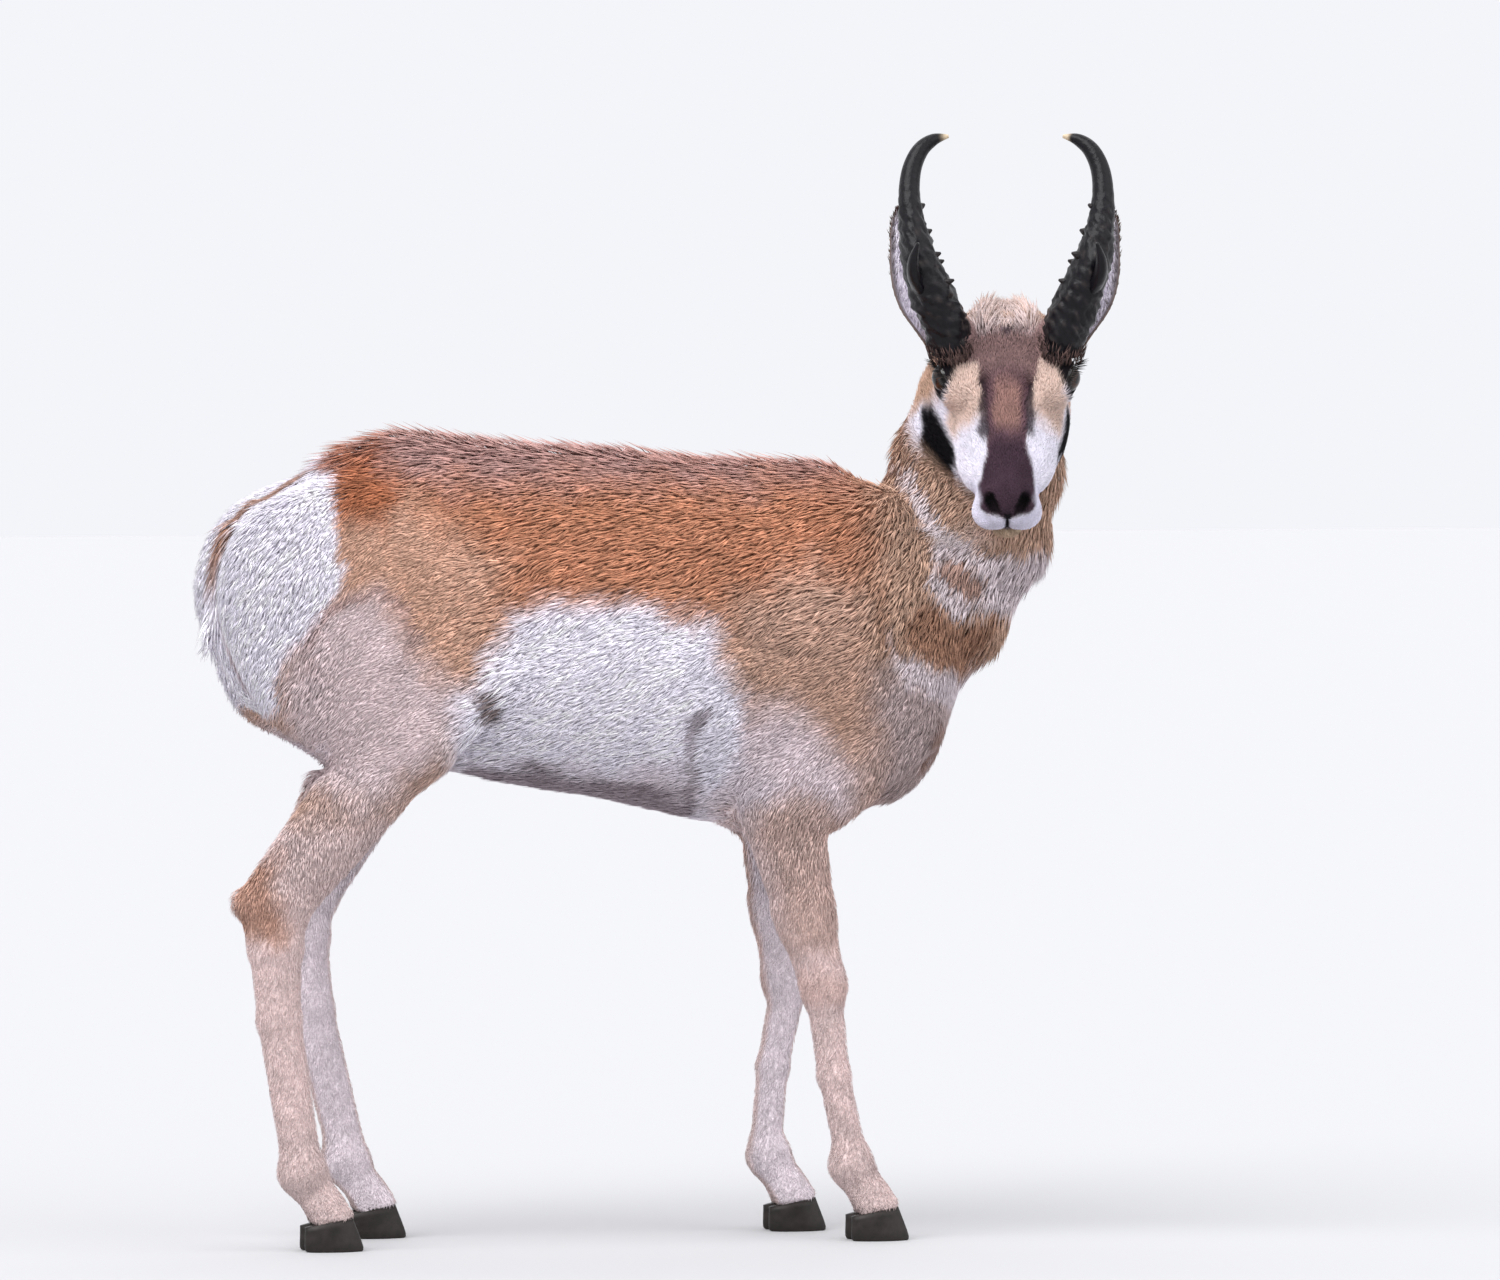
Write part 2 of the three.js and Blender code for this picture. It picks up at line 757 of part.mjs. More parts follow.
// A closed skin over rings of equal count, with a fan on each end
function loft(rings) {
  const sides = rings[0].length;
  const points = rings.flat();
  const middle = (ring) => times(ring.reduce(add), 1 / sides);
  const first = points.push(middle(rings[0])) - 1;
  const last = points.push(middle(rings[rings.length - 1])) - 1;
  const top = (rings.length - 1) * sides;
  const faces = [];
  for (let j = 0; j < sides; j += 1) {
    const next = (j + 1) % sides;
    for (let i = 0; i < rings.length - 1; i += 1) {
      const row = i * sides;
      faces.push([row + j, row + next, row + sides + next]);
      faces.push([row + j, row + sides + next, row + sides + j]);
    }
    faces.push([first, next, j]);
    faces.push([last, top + j, top + next]);
  }
  return solidFrom({ points, faces });
}

function outward(solid) {
  if (solid.volume() > 0) return solid;
  const mesh = solid.getMesh();
  const faces = mesh.triVerts.slice();
  for (let i = 0; i < faces.length; i += 3) faces.subarray(i, i + 3).reverse();
  return new wasm.Manifold(
    new wasm.Mesh({ numProp: mesh.numProp, vertProperties: mesh.vertProperties, triVerts: faces }),
  );
}

// A solid swept along stations in the face frame: outward, upward, forward, width, depth.
function sweep(side, stations, sides, rough, grow = 0) {
  const centres = stations.map(([out, up, forward]) => onFace(side, out, up, forward));
  const rings = stations.map(([, , , width, depth], i) => {
    const before = centres[Math.max(0, i - 1)];
    const after = centres[Math.min(centres.length - 1, i + 1)];
    const axis = unit(sub(after, before));
    const fore = unit(sub(AHEAD, times(axis, dot(AHEAD, axis))));
    const wide = cross(axis, fore);
    const ring = [];
    for (let j = 0; j < sides; j += 1) {
      const angle = (2 * Math.PI * j) / sides;
      const swell = 1 + rough(i, j);
      const w = (width + grow) * swell * Math.cos(angle);
      const d = (depth + grow) * swell * Math.sin(angle);
      ring.push(add(centres[i], add(times(wide, w), times(fore, d))));
    }
    return ring;
  });
  return outward(loft(rings));
}

// Stations between the given ones, on a smooth curve through them
function smoothStations(table, count) {
  const rows = [];
  for (let n = 0; n <= count; n += 1) {
    const place = (n / count) * (table.length - 1);
    const i = Math.min(table.length - 2, Math.floor(place));
    const t = place - i;
    const p0 = table[Math.max(0, i - 1)];
    const p3 = table[Math.min(table.length - 1, i + 2)];
    rows.push(
      table[i].map((b, k) => {
        const [a, c, d] = [p0[k], table[i + 1][k], p3[k]];
        const square = (2 * a - 5 * b + 4 * c - d) * t * t;
        return 0.5 * (2 * b + (c - a) * t + square + (3 * b - a - 3 * c + d) * t * t * t);
      }),
    );
  }
  return rows;
}

const smooth = () => 0;

// Horn sheaths: rough and ridged below the prong, smooth above it
function horn(side) {
  const draw = seeded(side === RIGHT ? 11 : 23);
  const rows = smoothStations(HORN, HORN_RINGS);
  const marks = rows.map(() => Array.from({ length: HORN_SIDES }, () => draw() - 0.5));
  const rough = (i, j) => (i > 0 && i < HORN_RINGS / 2 ? 0.14 * marks[i][j] : 0);
  let sheath = sweep(side, rows, HORN_SIDES, rough);
  sheath = sheath.add(sweep(side, smoothStations(PRONG, 5), 8, smooth));
  for (let n = 0; n < HORN_BURRS; n += 1) {
    const row = rows[FIRST_BURR_RING + n];
    const around = mix(-0.6, 0.6, draw());
    const [out, up, forward, width, depth] = row;
    const root = [out - width * 0.6, up, forward + depth * 0.6 * around, 4.5, 5];
    const tip = [out - width * 1.3, up + 4, forward + depth * 0.9 * around, 1.2, 1.4];
    sheath = sheath.add(sweep(side, [root, tip], 6, smooth));
  }
  return largest(sheath);
}

function hornSeat(side) {
  const rows = smoothStations(HORN, HORN_RINGS);
  const under = rows[0].map((value, k) => (k < 3 ? value - SEAT_DEPTH * (rows[1][k] - value) : value));
  return sweep(side, [under, ...rows], HORN_SIDES, smooth, SEAT_ROOM);
}

// An ear: a leaf of skin rolled into a cup that opens forward and outward
function ear(side) {
  const rows = smoothStations(EAR, 8);
  const arc = 8;
  const centres = rows.map(([out, up, forward]) => onFace(side, out, up, forward));
  const opens = unit(add(times(AHEAD, 0.86), times(ACROSS, side * 0.5)));
  const layers = [0, EAR_THICKNESS].map((inset) =>
    rows.map(([, , , width], i) => {
      const before = centres[Math.max(0, i - 1)];
      const after = centres[Math.min(centres.length - 1, i + 1)];
      const axis = unit(sub(after, before));
      const open = unit(sub(opens, times(axis, dot(opens, axis))));
      const wide = cross(axis, open);
      const share = i / (rows.length - 1);
      const half = mix(2.5, 1.25, Math.min(1, share * 1.5));
      const chord = Math.max(width, 2.2) / Math.sin(Math.min(half, Math.PI / 2));
      const radius = Math.max(chord - inset, chord * 0.35);
      const line = [];
      for (let j = 0; j <= arc; j += 1) {
        const angle = mix(-half, half, j / arc);
        const sideways = times(wide, radius * Math.sin(angle));
        const back = times(open, chord * 0.45 - radius * Math.cos(angle));
        line.push(add(centres[i], add(sideways, back)));
      }
      return line;
    }),
  );
  const rings = layers[0].map((line, i) => [...line, ...layers[1][i].slice().reverse()]);
  const cup = outward(loft(rings));
  return largest(cup.add(earRoot(side, 0)));
}

function earRoot(side, grow) {
  const root = [
    [56, 14, -32, 15 + grow, 15 + grow],
    [66, 32, -40, 17 + grow, 18 + grow],
    [73, 46, -44, 15 + grow, 15 + grow],
  ];
  if (grow) root[0][1] -= grow;
  return sweep(side, root, 12, smooth);
}

function eyeSphere(side, radius) {
  const geometry = new THREE.SphereGeometry(radius, 16, 10);
  const seat = onHead(EYE_SEAT[0], side * EYE_SEAT[1], EYE_SEAT[2]);
  const matrix = new THREE.Matrix4().makeTranslation(...seat);
  geometry.applyMatrix4(matrix);
  return geometrySolid(geometry);
}

// A flat tapered lock of hair that leaves its root along one way and bends to another
function lock(root, way, bend, wide, length, width, thickness = 2.4) {
  const steps = 4;
  const rings = [];
  for (let i = 0; i <= steps; i += 1) {
    const t = i / steps;
    const centre = add(root, add(times(way, length * t), times(bend, length * 0.5 * t * t)));
    const axis = unit(add(way, times(bend, t)));
    const across = unit(sub(wide, times(axis, dot(wide, axis))));
    const lift = cross(axis, across);
    const w = width * (i === steps ? 0.12 : Math.sqrt(1 - 0.82 * t));
    const h = thickness * (i === steps ? 0.3 : 1 - 0.6 * t);
    rings.push([
      add(centre, times(across, w)),
      add(centre, times(lift, h)),
      add(centre, times(across, -w)),
      add(centre, times(lift, -h)),
    ]);
  }
  return outward(loft(rings));
}

// Pale tufts that stand up on the crown between the horns
function crownLocks() {
  const draw = seeded(5);
  const locks = [];
  for (let n = 0; n < 13; n += 1) {
    const across = mix(-34, 34, n / 12) + mix(-3, 3, draw());
    const nose = mix(-52, -34, draw());
    const root = onHead(nose, across, 42 - across * across * 0.006);
    const lean = unit(add(times(UP, 1), times(ACROSS, across / 60)));
    const bend = times(AHEAD, mix(-0.5, 0.2, draw()));
    locks.push(lock(root, lean, bend, ACROSS, mix(26, 38, draw()), mix(5, 7, draw())));
  }
  return locks;
}

// Bristly hair tips that lie backward along a line of the body: the given way, and how far
// either side of the line they spread
function ridgeLocks(line, spread, way, count, seed) {
  const draw = seeded(seed);
  const locks = [];
  for (let n = 0; n < count; n += 1) {
    const place = ((n + draw()) / count) * (line.length - 1);
    const i = Math.min(line.length - 2, Math.floor(place));
    const start = mixPoint(line[i], line[i + 1], place - i);
    const aside = mix(-spread, spread, draw());
    const root = add(start, [0, aside, (-aside * aside) / 300]);
    const sway = [mix(-0.1, 0.1, draw()), mix(-0.15, 0.15, draw()) + aside / 200, 0];
    locks.push(lock(root, unit(add(way, sway)), [0, 0, -0.12], ACROSS_BODY, mix(38, 52, draw()),
      mix(6, 9, draw()), 3));
  }
  return locks;
}

// The fringe of the tail
function tailLocks() {
  const draw = seeded(31);
  const locks = [];
  for (let n = 0; n < 9; n += 1) {
    const across = mix(-14, 14, n / 8);
    const root = [-514 + 0.2 * Math.abs(across), across, mix(704, 730, draw())];
    const way = unit([mix(-0.25, -0.1, draw()), across / 60, -1]);
    locks.push(lock(root, way, [0.2, 0, 0], [0, 1, 0], mix(34, 52, draw()), mix(4.5, 6.5, draw())));
  }
  return locks;
}

// One hoof of a foot: outline rings from the sole to the sloping coronet
function hoof(leg, inOut) {
  const toe = atSide(leg.toe, leg.side);
  const middle = [toe[0] - 2, toe[1] + inOut * HOOF_SPREAD, 0];
  const levels = [
    [0, 1, 1],
    [0.12, 1.02, 1.02],
    [0.55, 0.93, 0.95],
    [1, 0.83, 0.88],
  ];
  const sides = 12;
  const rings = levels.map(([share, length, width]) => {
    const ring = [];
    for (let j = 0; j < sides; j += 1) {
      const angle = (2 * Math.PI * j) / sides;
      const forward = Math.cos(angle);
      const point = forward > 0 ? 1 - 0.34 * forward ** 2 : 1;
      const x = (HOOF_LENGTH / 2) * length * forward - share * 7;
      const y = (HOOF_WIDTH / 2) * width * Math.sin(angle) * point;
      const z = share * (coronet(toe, middle[0] + x) - 1.5 * GAP);
      ring.push([middle[0] + x, middle[1] + y, z]);
    }
    return ring;
  });
  return outward(loft(rings));
}

const CORONET_SLOPE = (CORONET_FRONT - CORONET_BACK) / HOOF_LENGTH;

function coronet(toe, x) {
  return (CORONET_FRONT + CORONET_BACK) / 2 + (x - toe[0]) * CORONET_SLOPE;
}

// Everything under a foot's coronet
function underCoronet(leg) {
  const toe = atSide(leg.toe, leg.side);
  const tilt = new THREE.Matrix4().makeRotationY(-Math.atan(CORONET_SLOPE));
  const place = new THREE.Matrix4().makeTranslation(toe[0], toe[1], coronet(toe, toe[0]));
  return boxSolid([-110, -50, -120], [110, 50, 0], place.multiply(tilt));
}

// Cuts: each keeps what lies on one side of a plane through a point, as a large block
function blockBeyond(point, normal, start) {
  const away = new THREE.Vector3(...unit(normal));
  const turn = new THREE.Quaternion().setFromUnitVectors(new THREE.Vector3(0, 0, 1), away);
  const matrix = new THREE.Matrix4().compose(
    new THREE.Vector3(...point),
    turn,
    new THREE.Vector3(1, 1, 1),
  );
  return boxSolid([-1500, -1500, start], [1500, 1500, 3000], matrix);
}

const BODY_LOW = [-575, -230, 8];
const BODY_HIGH = [520, 230, 1075];
const HEAD_LOW = [270, -260, 780];
const HEAD_HIGH = [510, 36, 1090];

// The head is what lies above a slope from the nape to the throat, or forward of the throat.
const HEAD_CUT = { point: [385, -97, 868], normal: [0, -0.748, 0.663] };
const CHIN_CUT = { point: [385, -97, 868], normal: [0, -1, -0.1] };
const NECK_CUT = { point: [255, 0, 770], normal: [0.86, 0, 0.5] };
const HIND_CUT = { point: [-360, 0, 600], normal: [0.33, 0, -1] };
const FLANK_CUT = { point: [-228, 0, 585], normal: [-0.858, 0, 0.513] };
const UNDER_BELLY = 500;
const FORE_CUT = { point: [130, 0, 486], normal: [0.1, 0, -1] };
const TAIL_BOX = { low: [-600, -34, 600], high: [-496, 34, 832] };
const HIND_REACH = [-600, -150];
const FORE_REACH = [20, 300];

const wholeBody = largest(
  solidFrom(thin(surfaceOf(wholeField, BODY_LOW, BODY_HIGH, BODY_CELL), BODY_TRIANGLES)),
);
const wholeHead = largest(
  solidFrom(thin(surfaceOf(wholeField, HEAD_LOW, HEAD_HIGH, HEAD_CELL), HEAD_TRIANGLES)),
);

// Leg blocks: under the hip or elbow cut, on one side of the middle, within the leg's reach
function legBlock(cut, reach, side, grow) {
  let below = blockBeyond(cut.point, cut.normal, -grow / 2);
  if (cut === HIND_CUT) {
    const behindFlank = blockBeyond(FLANK_CUT.point, FLANK_CUT.normal, -grow / 2);
    below = below.intersect(behindFlank.add(boxSolid([-900, -400, -60], [-150, 400, UNDER_BELLY])));
  }
  const edge = side === RIGHT ? [-400, grow / 2 - GAP / 2] : [GAP / 2 - grow / 2, 400];
  const column = boxSolid([reach[0], edge[0], -50], [reach[1], edge[1], 800]);
  return below.intersect(column);
}

const BACK_LINE = [
  [-230, 0, 905],
  [-71, 0, 892],
  [60, 0, 881],
  [215, 0, 877],
];
const NAPE_LINE = [
  [272, -4, 908],
  [312, -30, 985],
];

const pieces = new Map();

function buildLegs(name, legs, cut, reach) {
  for (const [which, leg] of Object.entries(legs)) {
    const block = legBlock(cut, reach, leg.side, -GAP);
    const limb = largest(wholeBody.intersect(block).subtract(underCoronet(leg)));
    pieces.set(name + "_" + which, limb);
    pieces.set("hoof_" + name + "_" + which + "_inner", hoof(leg, -leg.side));
    pieces.set("hoof_" + name + "_" + which + "_outer", hoof(leg, leg.side));
  }
}

buildLegs("leg_hind", HIND, HIND_CUT, HIND_REACH);
buildLegs("leg_fore", FORE, FORE_CUT, FORE_REACH);

let torso = wholeBody;
for (const side of [RIGHT, LEFT]) {
  torso = torso.subtract(legBlock(HIND_CUT, HIND_REACH, side, GAP));
  torso = torso.subtract(legBlock(FORE_CUT, FORE_REACH, side, GAP));
}
const tailBox = boxSolid(TAIL_BOX.low, TAIL_BOX.high);
const grownTailBox = boxSolid(
  sub(TAIL_BOX.low, [0, GAP, GAP]),
  add(TAIL_BOX.high, [GAP, GAP, GAP]),
);
const neckBlock = blockBeyond(NECK_CUT.point, NECK_CUT.normal, GAP / 2);
const neckGrown = blockBeyond(NECK_CUT.point, NECK_CUT.normal, -GAP / 2);
const headSide = (start) =>
  blockBeyond(HEAD_CUT.point, HEAD_CUT.normal, start).add(
    blockBeyond(CHIN_CUT.point, CHIN_CUT.normal, start),
  );
const headBlock = headSide(GAP / 2);
const headGrown = headSide(-GAP / 2);

const joinAll = (solid, others) => others.reduce((sum, other) => sum.add(other), solid);

torso = torso.subtract(grownTailBox).subtract(neckGrown);
torso = joinAll(torso, ridgeLocks(BACK_LINE, 46, [-0.96, 0, 0.26], 22, 41));
pieces.set("torso", largest(torso.subtract(neckGrown)));

let tail = joinAll(wholeBody.intersect(tailBox), tailLocks());
tail = tail.intersect(boxSolid([-700, -200, 500], TAIL_BOX.high));
pieces.set("tail", largest(tail));

let neck = wholeBody.intersect(neckBlock).subtract(headGrown);
neck = joinAll(neck, ridgeLocks(NAPE_LINE, 18, [-0.42, 0, -0.86], 8, 43));
neck = neck.intersect(neckBlock).subtract(headGrown);
pieces.set("neck", largest(neck));

let head = joinAll(wholeHead.intersect(headBlock), crownLocks());
for (const [which, side] of [["right", RIGHT], ["left", LEFT]]) {
  head = head.subtract(hornSeat(side));
  head = head.subtract(earRoot(side, GAP));
  head = head.subtract(eyeSphere(side, EYE_RADIUS + GAP));
  pieces.set("horn_" + which, horn(side));
  pieces.set("eye_" + which, eyeSphere(side, EYE_RADIUS));
}
head = largest(head);
pieces.set("head", head);
for (const [which, side] of [["right", RIGHT], ["left", LEFT]]) {
  pieces.set("ear_" + which, largest(ear(side).subtract(head)));
}

// Colours and surface of each kind of node
const FINISHES = {
  horn: { color: 0x1b1a1c, roughness: 0.45 },
  hoof: { color: 0x26221f, roughness: 0.5 },
  eye: { color: 0x0b0807, roughness: 0.08 },
  ear: { color: 0xc9b08f, roughness: 0.9 },
  head: { color: 0x8c6a50, roughness: 0.9 },
  neck: { color: 0xb88a5c, roughness: 0.92 },
  torso: { color: 0xa8693f, roughness: 0.92 },
  tail: { color: 0xe8e2dc, roughness: 0.92 },
  leg: { color: 0xc99f78, roughness: 0.92 },
};

function meshOf(name, solid) {
  const made = solid.getMesh();
  const positions = new Float32Array(made.numVert * 3);
  for (let i = 0; i < made.numVert; i += 1) {
    const point = made.vertProperties.subarray(i * made.numProp, i * made.numProp + 3);
    positions.set(point, i * 3);
  }
  const geometry = new THREE.BufferGeometry();
  geometry.setAttribute("position", new THREE.BufferAttribute(positions, 3));
  geometry.setIndex(new THREE.BufferAttribute(made.triVerts, 1));
  geometry.computeVertexNormals();
  const finish = FINISHES[name.split("_")[0]];
  const mesh = new THREE.Mesh(geometry, new THREE.MeshStandardMaterial({ ...finish, metalness: 0 }));
  mesh.name = name;
  return mesh;
}

const pronghorn = new THREE.Group();
pronghorn.name = "pronghorn";
for (const [name, solid] of pieces) pronghorn.add(meshOf(name, solid));
pronghorn.position.set(SHIFT_X, SHIFT_Y, 0);

export default pronghorn;
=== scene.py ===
"""Looks of the pronghorn: skin, coat, horns, ears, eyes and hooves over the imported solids."""
import math

import bpy
import numpy as np
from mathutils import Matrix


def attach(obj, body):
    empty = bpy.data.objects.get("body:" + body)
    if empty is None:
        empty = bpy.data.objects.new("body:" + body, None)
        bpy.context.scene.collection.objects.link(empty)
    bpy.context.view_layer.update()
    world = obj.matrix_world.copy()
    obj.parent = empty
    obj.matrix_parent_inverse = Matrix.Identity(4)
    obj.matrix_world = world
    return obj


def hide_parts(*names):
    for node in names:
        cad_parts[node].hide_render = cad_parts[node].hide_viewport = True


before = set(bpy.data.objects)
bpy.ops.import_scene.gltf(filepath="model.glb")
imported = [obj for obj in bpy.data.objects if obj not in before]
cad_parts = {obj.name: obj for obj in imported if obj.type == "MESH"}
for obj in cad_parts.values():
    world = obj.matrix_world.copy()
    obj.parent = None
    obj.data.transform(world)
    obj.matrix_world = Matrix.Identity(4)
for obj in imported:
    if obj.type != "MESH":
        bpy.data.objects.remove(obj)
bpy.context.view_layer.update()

RIGHT, LEFT = -1, 1
NAMES = {RIGHT: "right", LEFT: "left"}
SHIFT = np.array([4.6, 27.4, 0.0])
MM = 0.001
rng = np.random.default_rng(7)

BODY_CELL = 5.6
HEAD_CELL = 2.4
BODY_TUFTS = 186000
HEAD_TUFTS = 52000
TUFTS_PER_PIECE = 30000
BLOCK, NEAR_BLOCKS, PARTS = 4, 1.8, 8


# Small helpers on arrays of points, in millimetres before the shift
def vec(*values):
    return np.array(values, dtype=float)


def unit(v):
    v = np.asarray(v, dtype=float)
    return v / np.maximum(np.linalg.norm(v, axis=-1, keepdims=True), 1e-9)


def mix(a, b, t):
    return a + (b - a) * t


def step(low, high, x):
    t = np.clip((x - low) / (high - low), 0, 1)
    return t * t * (3 - 2 * t)


def blend(a, b, weight):
    return mix(a, b, weight[:, None])


def over(base, *coats):
    """The base with coats of (value, weight) laid over it in turn."""
    for value, weight in coats:
        base = mix(base, value, weight[:, None] if np.ndim(base) > 1 else weight)
    return base


# Face frame: nose, across to the animal's left, and out of the brow
HEAD_TURN = math.radians(103)
FACE_DIP = math.radians(45)
EYE_MIDDLE = vec(377, -110, 979)
UP = vec(0, 0, 1)
AHEAD = vec(math.cos(HEAD_TURN), -math.sin(HEAD_TURN), 0)
ACROSS = vec(math.sin(HEAD_TURN), math.cos(HEAD_TURN), 0)
NOSEWARD = AHEAD * math.cos(FACE_DIP) - UP * math.sin(FACE_DIP)
BROWWARD = AHEAD * math.sin(FACE_DIP) + UP * math.cos(FACE_DIP)
HEAD_AXES = np.stack([NOSEWARD, ACROSS, BROWWARD])
WORLD_AXES = np.eye(3)
EYE_RADIUS = 19
EYE_SEAT = (2, 65, 5)
SOCKET = 24.5
EYE_LOOK = (0.38, 0.88, 0.27)


def around_eyes(p):
    """The places of points in each eye's own frame: along the face, outward and across."""
    for side in (RIGHT, LEFT):
        seat, axes = eye_frame(side)
        yield (p - seat) @ axes.T


def on_head(nose, across, brow):
    return EYE_MIDDLE + NOSEWARD * nose + ACROSS * across + BROWWARD * brow


def on_face(side, out, up, forward):
    return EYE_MIDDLE + ACROSS * (side * out) + UP * up + AHEAD * forward


def eye_frame(side):
    seat = on_head(EYE_SEAT[0], side * EYE_SEAT[1], EYE_SEAT[2])
    look = unit(NOSEWARD * EYE_LOOK[0] + ACROSS * side * EYE_LOOK[1] + BROWWARD * EYE_LOOK[2])
    along = unit(NOSEWARD - look * np.dot(NOSEWARD, look))
    return seat, np.stack([along, look, np.cross(along, look)])


# Forms of the flesh, the same named muscles and bones as the solids
def scaled(a, b, c, ra, rb, rc):
    na, nb, nc = a / ra, b / rb, c / rc
    near = np.sqrt(na * na + nb * nb + nc * nc)
    slope = np.sqrt((na / ra) ** 2 + (nb / rb) ** 2 + (nc / rc) ** 2)
    return near * (near - 1) / np.maximum(slope, 1e-9)


def ball(centre, radii, axes=WORLD_AXES):
    def field(p):
        q = (p - centre) @ axes.T
        return scaled(q[:, 0], q[:, 1], q[:, 2], *radii)
    return field


def bone(a, b, depths, widths, depth_along=vec(1, 0, 0)):
    a, b = np.asarray(a, float), np.asarray(b, float)
    length = np.linalg.norm(b - a)
    axis = (b - a) / length
    deep = unit(depth_along - axis * np.dot(depth_along, axis))
    thin = np.cross(axis, deep)

    def field(p):
        q = p - a
        along = q @ axis
        t = np.clip(along / length, 0, 1)
        depth, width = mix(depths[0], depths[1], t), mix(widths[0], widths[1], t)
        past = along - t * length
        return scaled(past, q @ deep, q @ thin, np.minimum(depth, width), depth, width)
    return field


def head_ball(nose, across, brow, radii):
    return ball(on_head(nose, across, brow), radii, HEAD_AXES)


def head_bone(a, b, depths, widths):
    return bone(on_head(*a), on_head(*b), depths, widths, BROWWARD)


TRUNK = np.array([
    [-455, 852, 600, 84], [-387, 893, 566, 118], [-305, 919, 543, 134], [-224, 912, 528, 142],
    [-150, 905, 512, 150], [-71, 900, 499, 156], [46, 889, 472, 154], [130, 886, 458, 142],
    [200, 883, 468, 122], [255, 850, 495, 98]], dtype=float)
TRUNK_CAP = 64
NECK = [
    (228, 0, 665, 122, 88), (310, -3, 735, 105, 77), (355, -9, 808, 102, 71),
    (368, -20, 885, 98, 67), (383, -32, 957, 82, 62)]
HIND = {
    RIGHT: [(-318, 98, 572), (-468, 87, 383), (-459, 86, 262), (-433, 85, 92), (-396, 85, 34)],
    LEFT: [(-290, 98, 572), (-404, 87, 383), (-388, 86, 262), (-350, 85, 92), (-313, 85, 34)]}
FORE = {
    RIGHT: [(122, 84, 470), (172, 78, 290), (184, 77, 190), (204, 76, 89), (238, 76, 34)],
    LEFT: [(152, 84, 470), (163, 78, 290), (149, 77, 190), (143, 76, 89), (177, 76, 34)]}
HOOF_LENGTH, HOOF_WIDTH, HOOF_SPREAD = 66, 26, 14.5
CORONET_FRONT, CORONET_BACK = 40, 27
CORONET_SLOPE = (CORONET_FRONT - CORONET_BACK) / HOOF_LENGTH


def trunk(p):
    xs = TRUNK[:, 0]
    x = np.clip(p[:, 0], xs[0], xs[-1])
    slopes = np.empty_like(TRUNK)
    slopes[1:-1] = (TRUNK[2:] - TRUNK[:-2]) / (xs[2:] - xs[:-2])[:, None]
    slopes[0] = (TRUNK[1] - TRUNK[0]) / (xs[1] - xs[0])
    slopes[-1] = (TRUNK[-1] - TRUNK[-2]) / (xs[-1] - xs[-2])
    i = np.clip(np.searchsorted(xs, x, side="left") - 1, 0, len(xs) - 2)
    span = xs[i + 1] - xs[i]
    t = (x - xs[i]) / span
    h1 = t * t * (3 - 2 * t)
    h2 = t * (1 - t) * (1 - t) * span
    h3 = t * t * (t - 1) * span

    def column(k):
        ends = TRUNK[i, k] * (1 - h1) + TRUNK[i + 1, k] * h1
        return ends + slopes[i, k] * h2 + slopes[i + 1, k] * h3
    top, bottom, width = column(1), column(2), column(3)
    middle, tall = (top + bottom) / 2, (top - bottom) / 2
    drop = np.clip((middle - p[:, 2]) / tall, -1, 1)
    return scaled(p[:, 0] - x, p[:, 1], p[:, 2] - middle, TRUNK_CAP, width * (1 + 0.1 * drop), tall)


def at_side(point, side):
    return vec(point[0], side * point[1], point[2])


def foot(leg, side, depth, width):
    fetlock, toe = at_side(leg[3], side), at_side(leg[4], side)
    forms = [
        (ball(fetlock, (depth, width, depth + 1)), 12),
        (bone(fetlock + [1, 0, -6], toe + [-9, 0, 14], (23, 24), (20, 22)), 16)]
    for way in (-1, 1):
        tip = toe + [-2, way * HOOF_SPREAD, 0]
        forms.append((bone(toe + [-16, way * 9, 26], tip, (21, 27), (13, 13.4)), 8))
    return forms


def hind_forms(side):
    leg = HIND[side]
    stifle, hock, cannon, fetlock = (at_side(joint, side) for joint in leg[:4])
    lead = leg[0][0] - HIND[RIGHT][0][0]
    heel = hock + [-31, 0, 12]
    flank = bone((-290 + lead / 2, side * 100, 592), (-208, side * 124, 648),
                 (46, 16), (22, 12), UP)
    haunch = [
        (ball(vec(-394, side * 72, 742), (134, 68, 128)), 40),
        (ball(vec(-402, side * 80, 656), (94, 54, 88)), 30),
        (ball(vec(-338 + lead / 2, side * 92, 632), (112, 52, 104)), 30),
        (flank, 30)]
    shank = [
        (bone(stifle, hock + [13, 0, 17], (55, 39), (42, 24)), 26),
        (ball(stifle + [8, 0, 2], (42, 38, 48)), 24),
        (bone(stifle + [-88, 0, -50], heel, (18, 11), (20, 12)), 16),
        (ball(heel, (15, 14, 18)), 10),
        (bone(hock + [3, 0, 8], hock + [5, 0, -40], (42, 33), (26, 24)), 14),
        (bone(hock + [5, 0, -40], cannon, (31, 26), (24, 20)), 10),
        (bone(cannon, fetlock + [-3, 0, 26], (26, 24), (20, 18.5)), 10)]
    return haunch, shank + foot(leg, side, 29, 25)


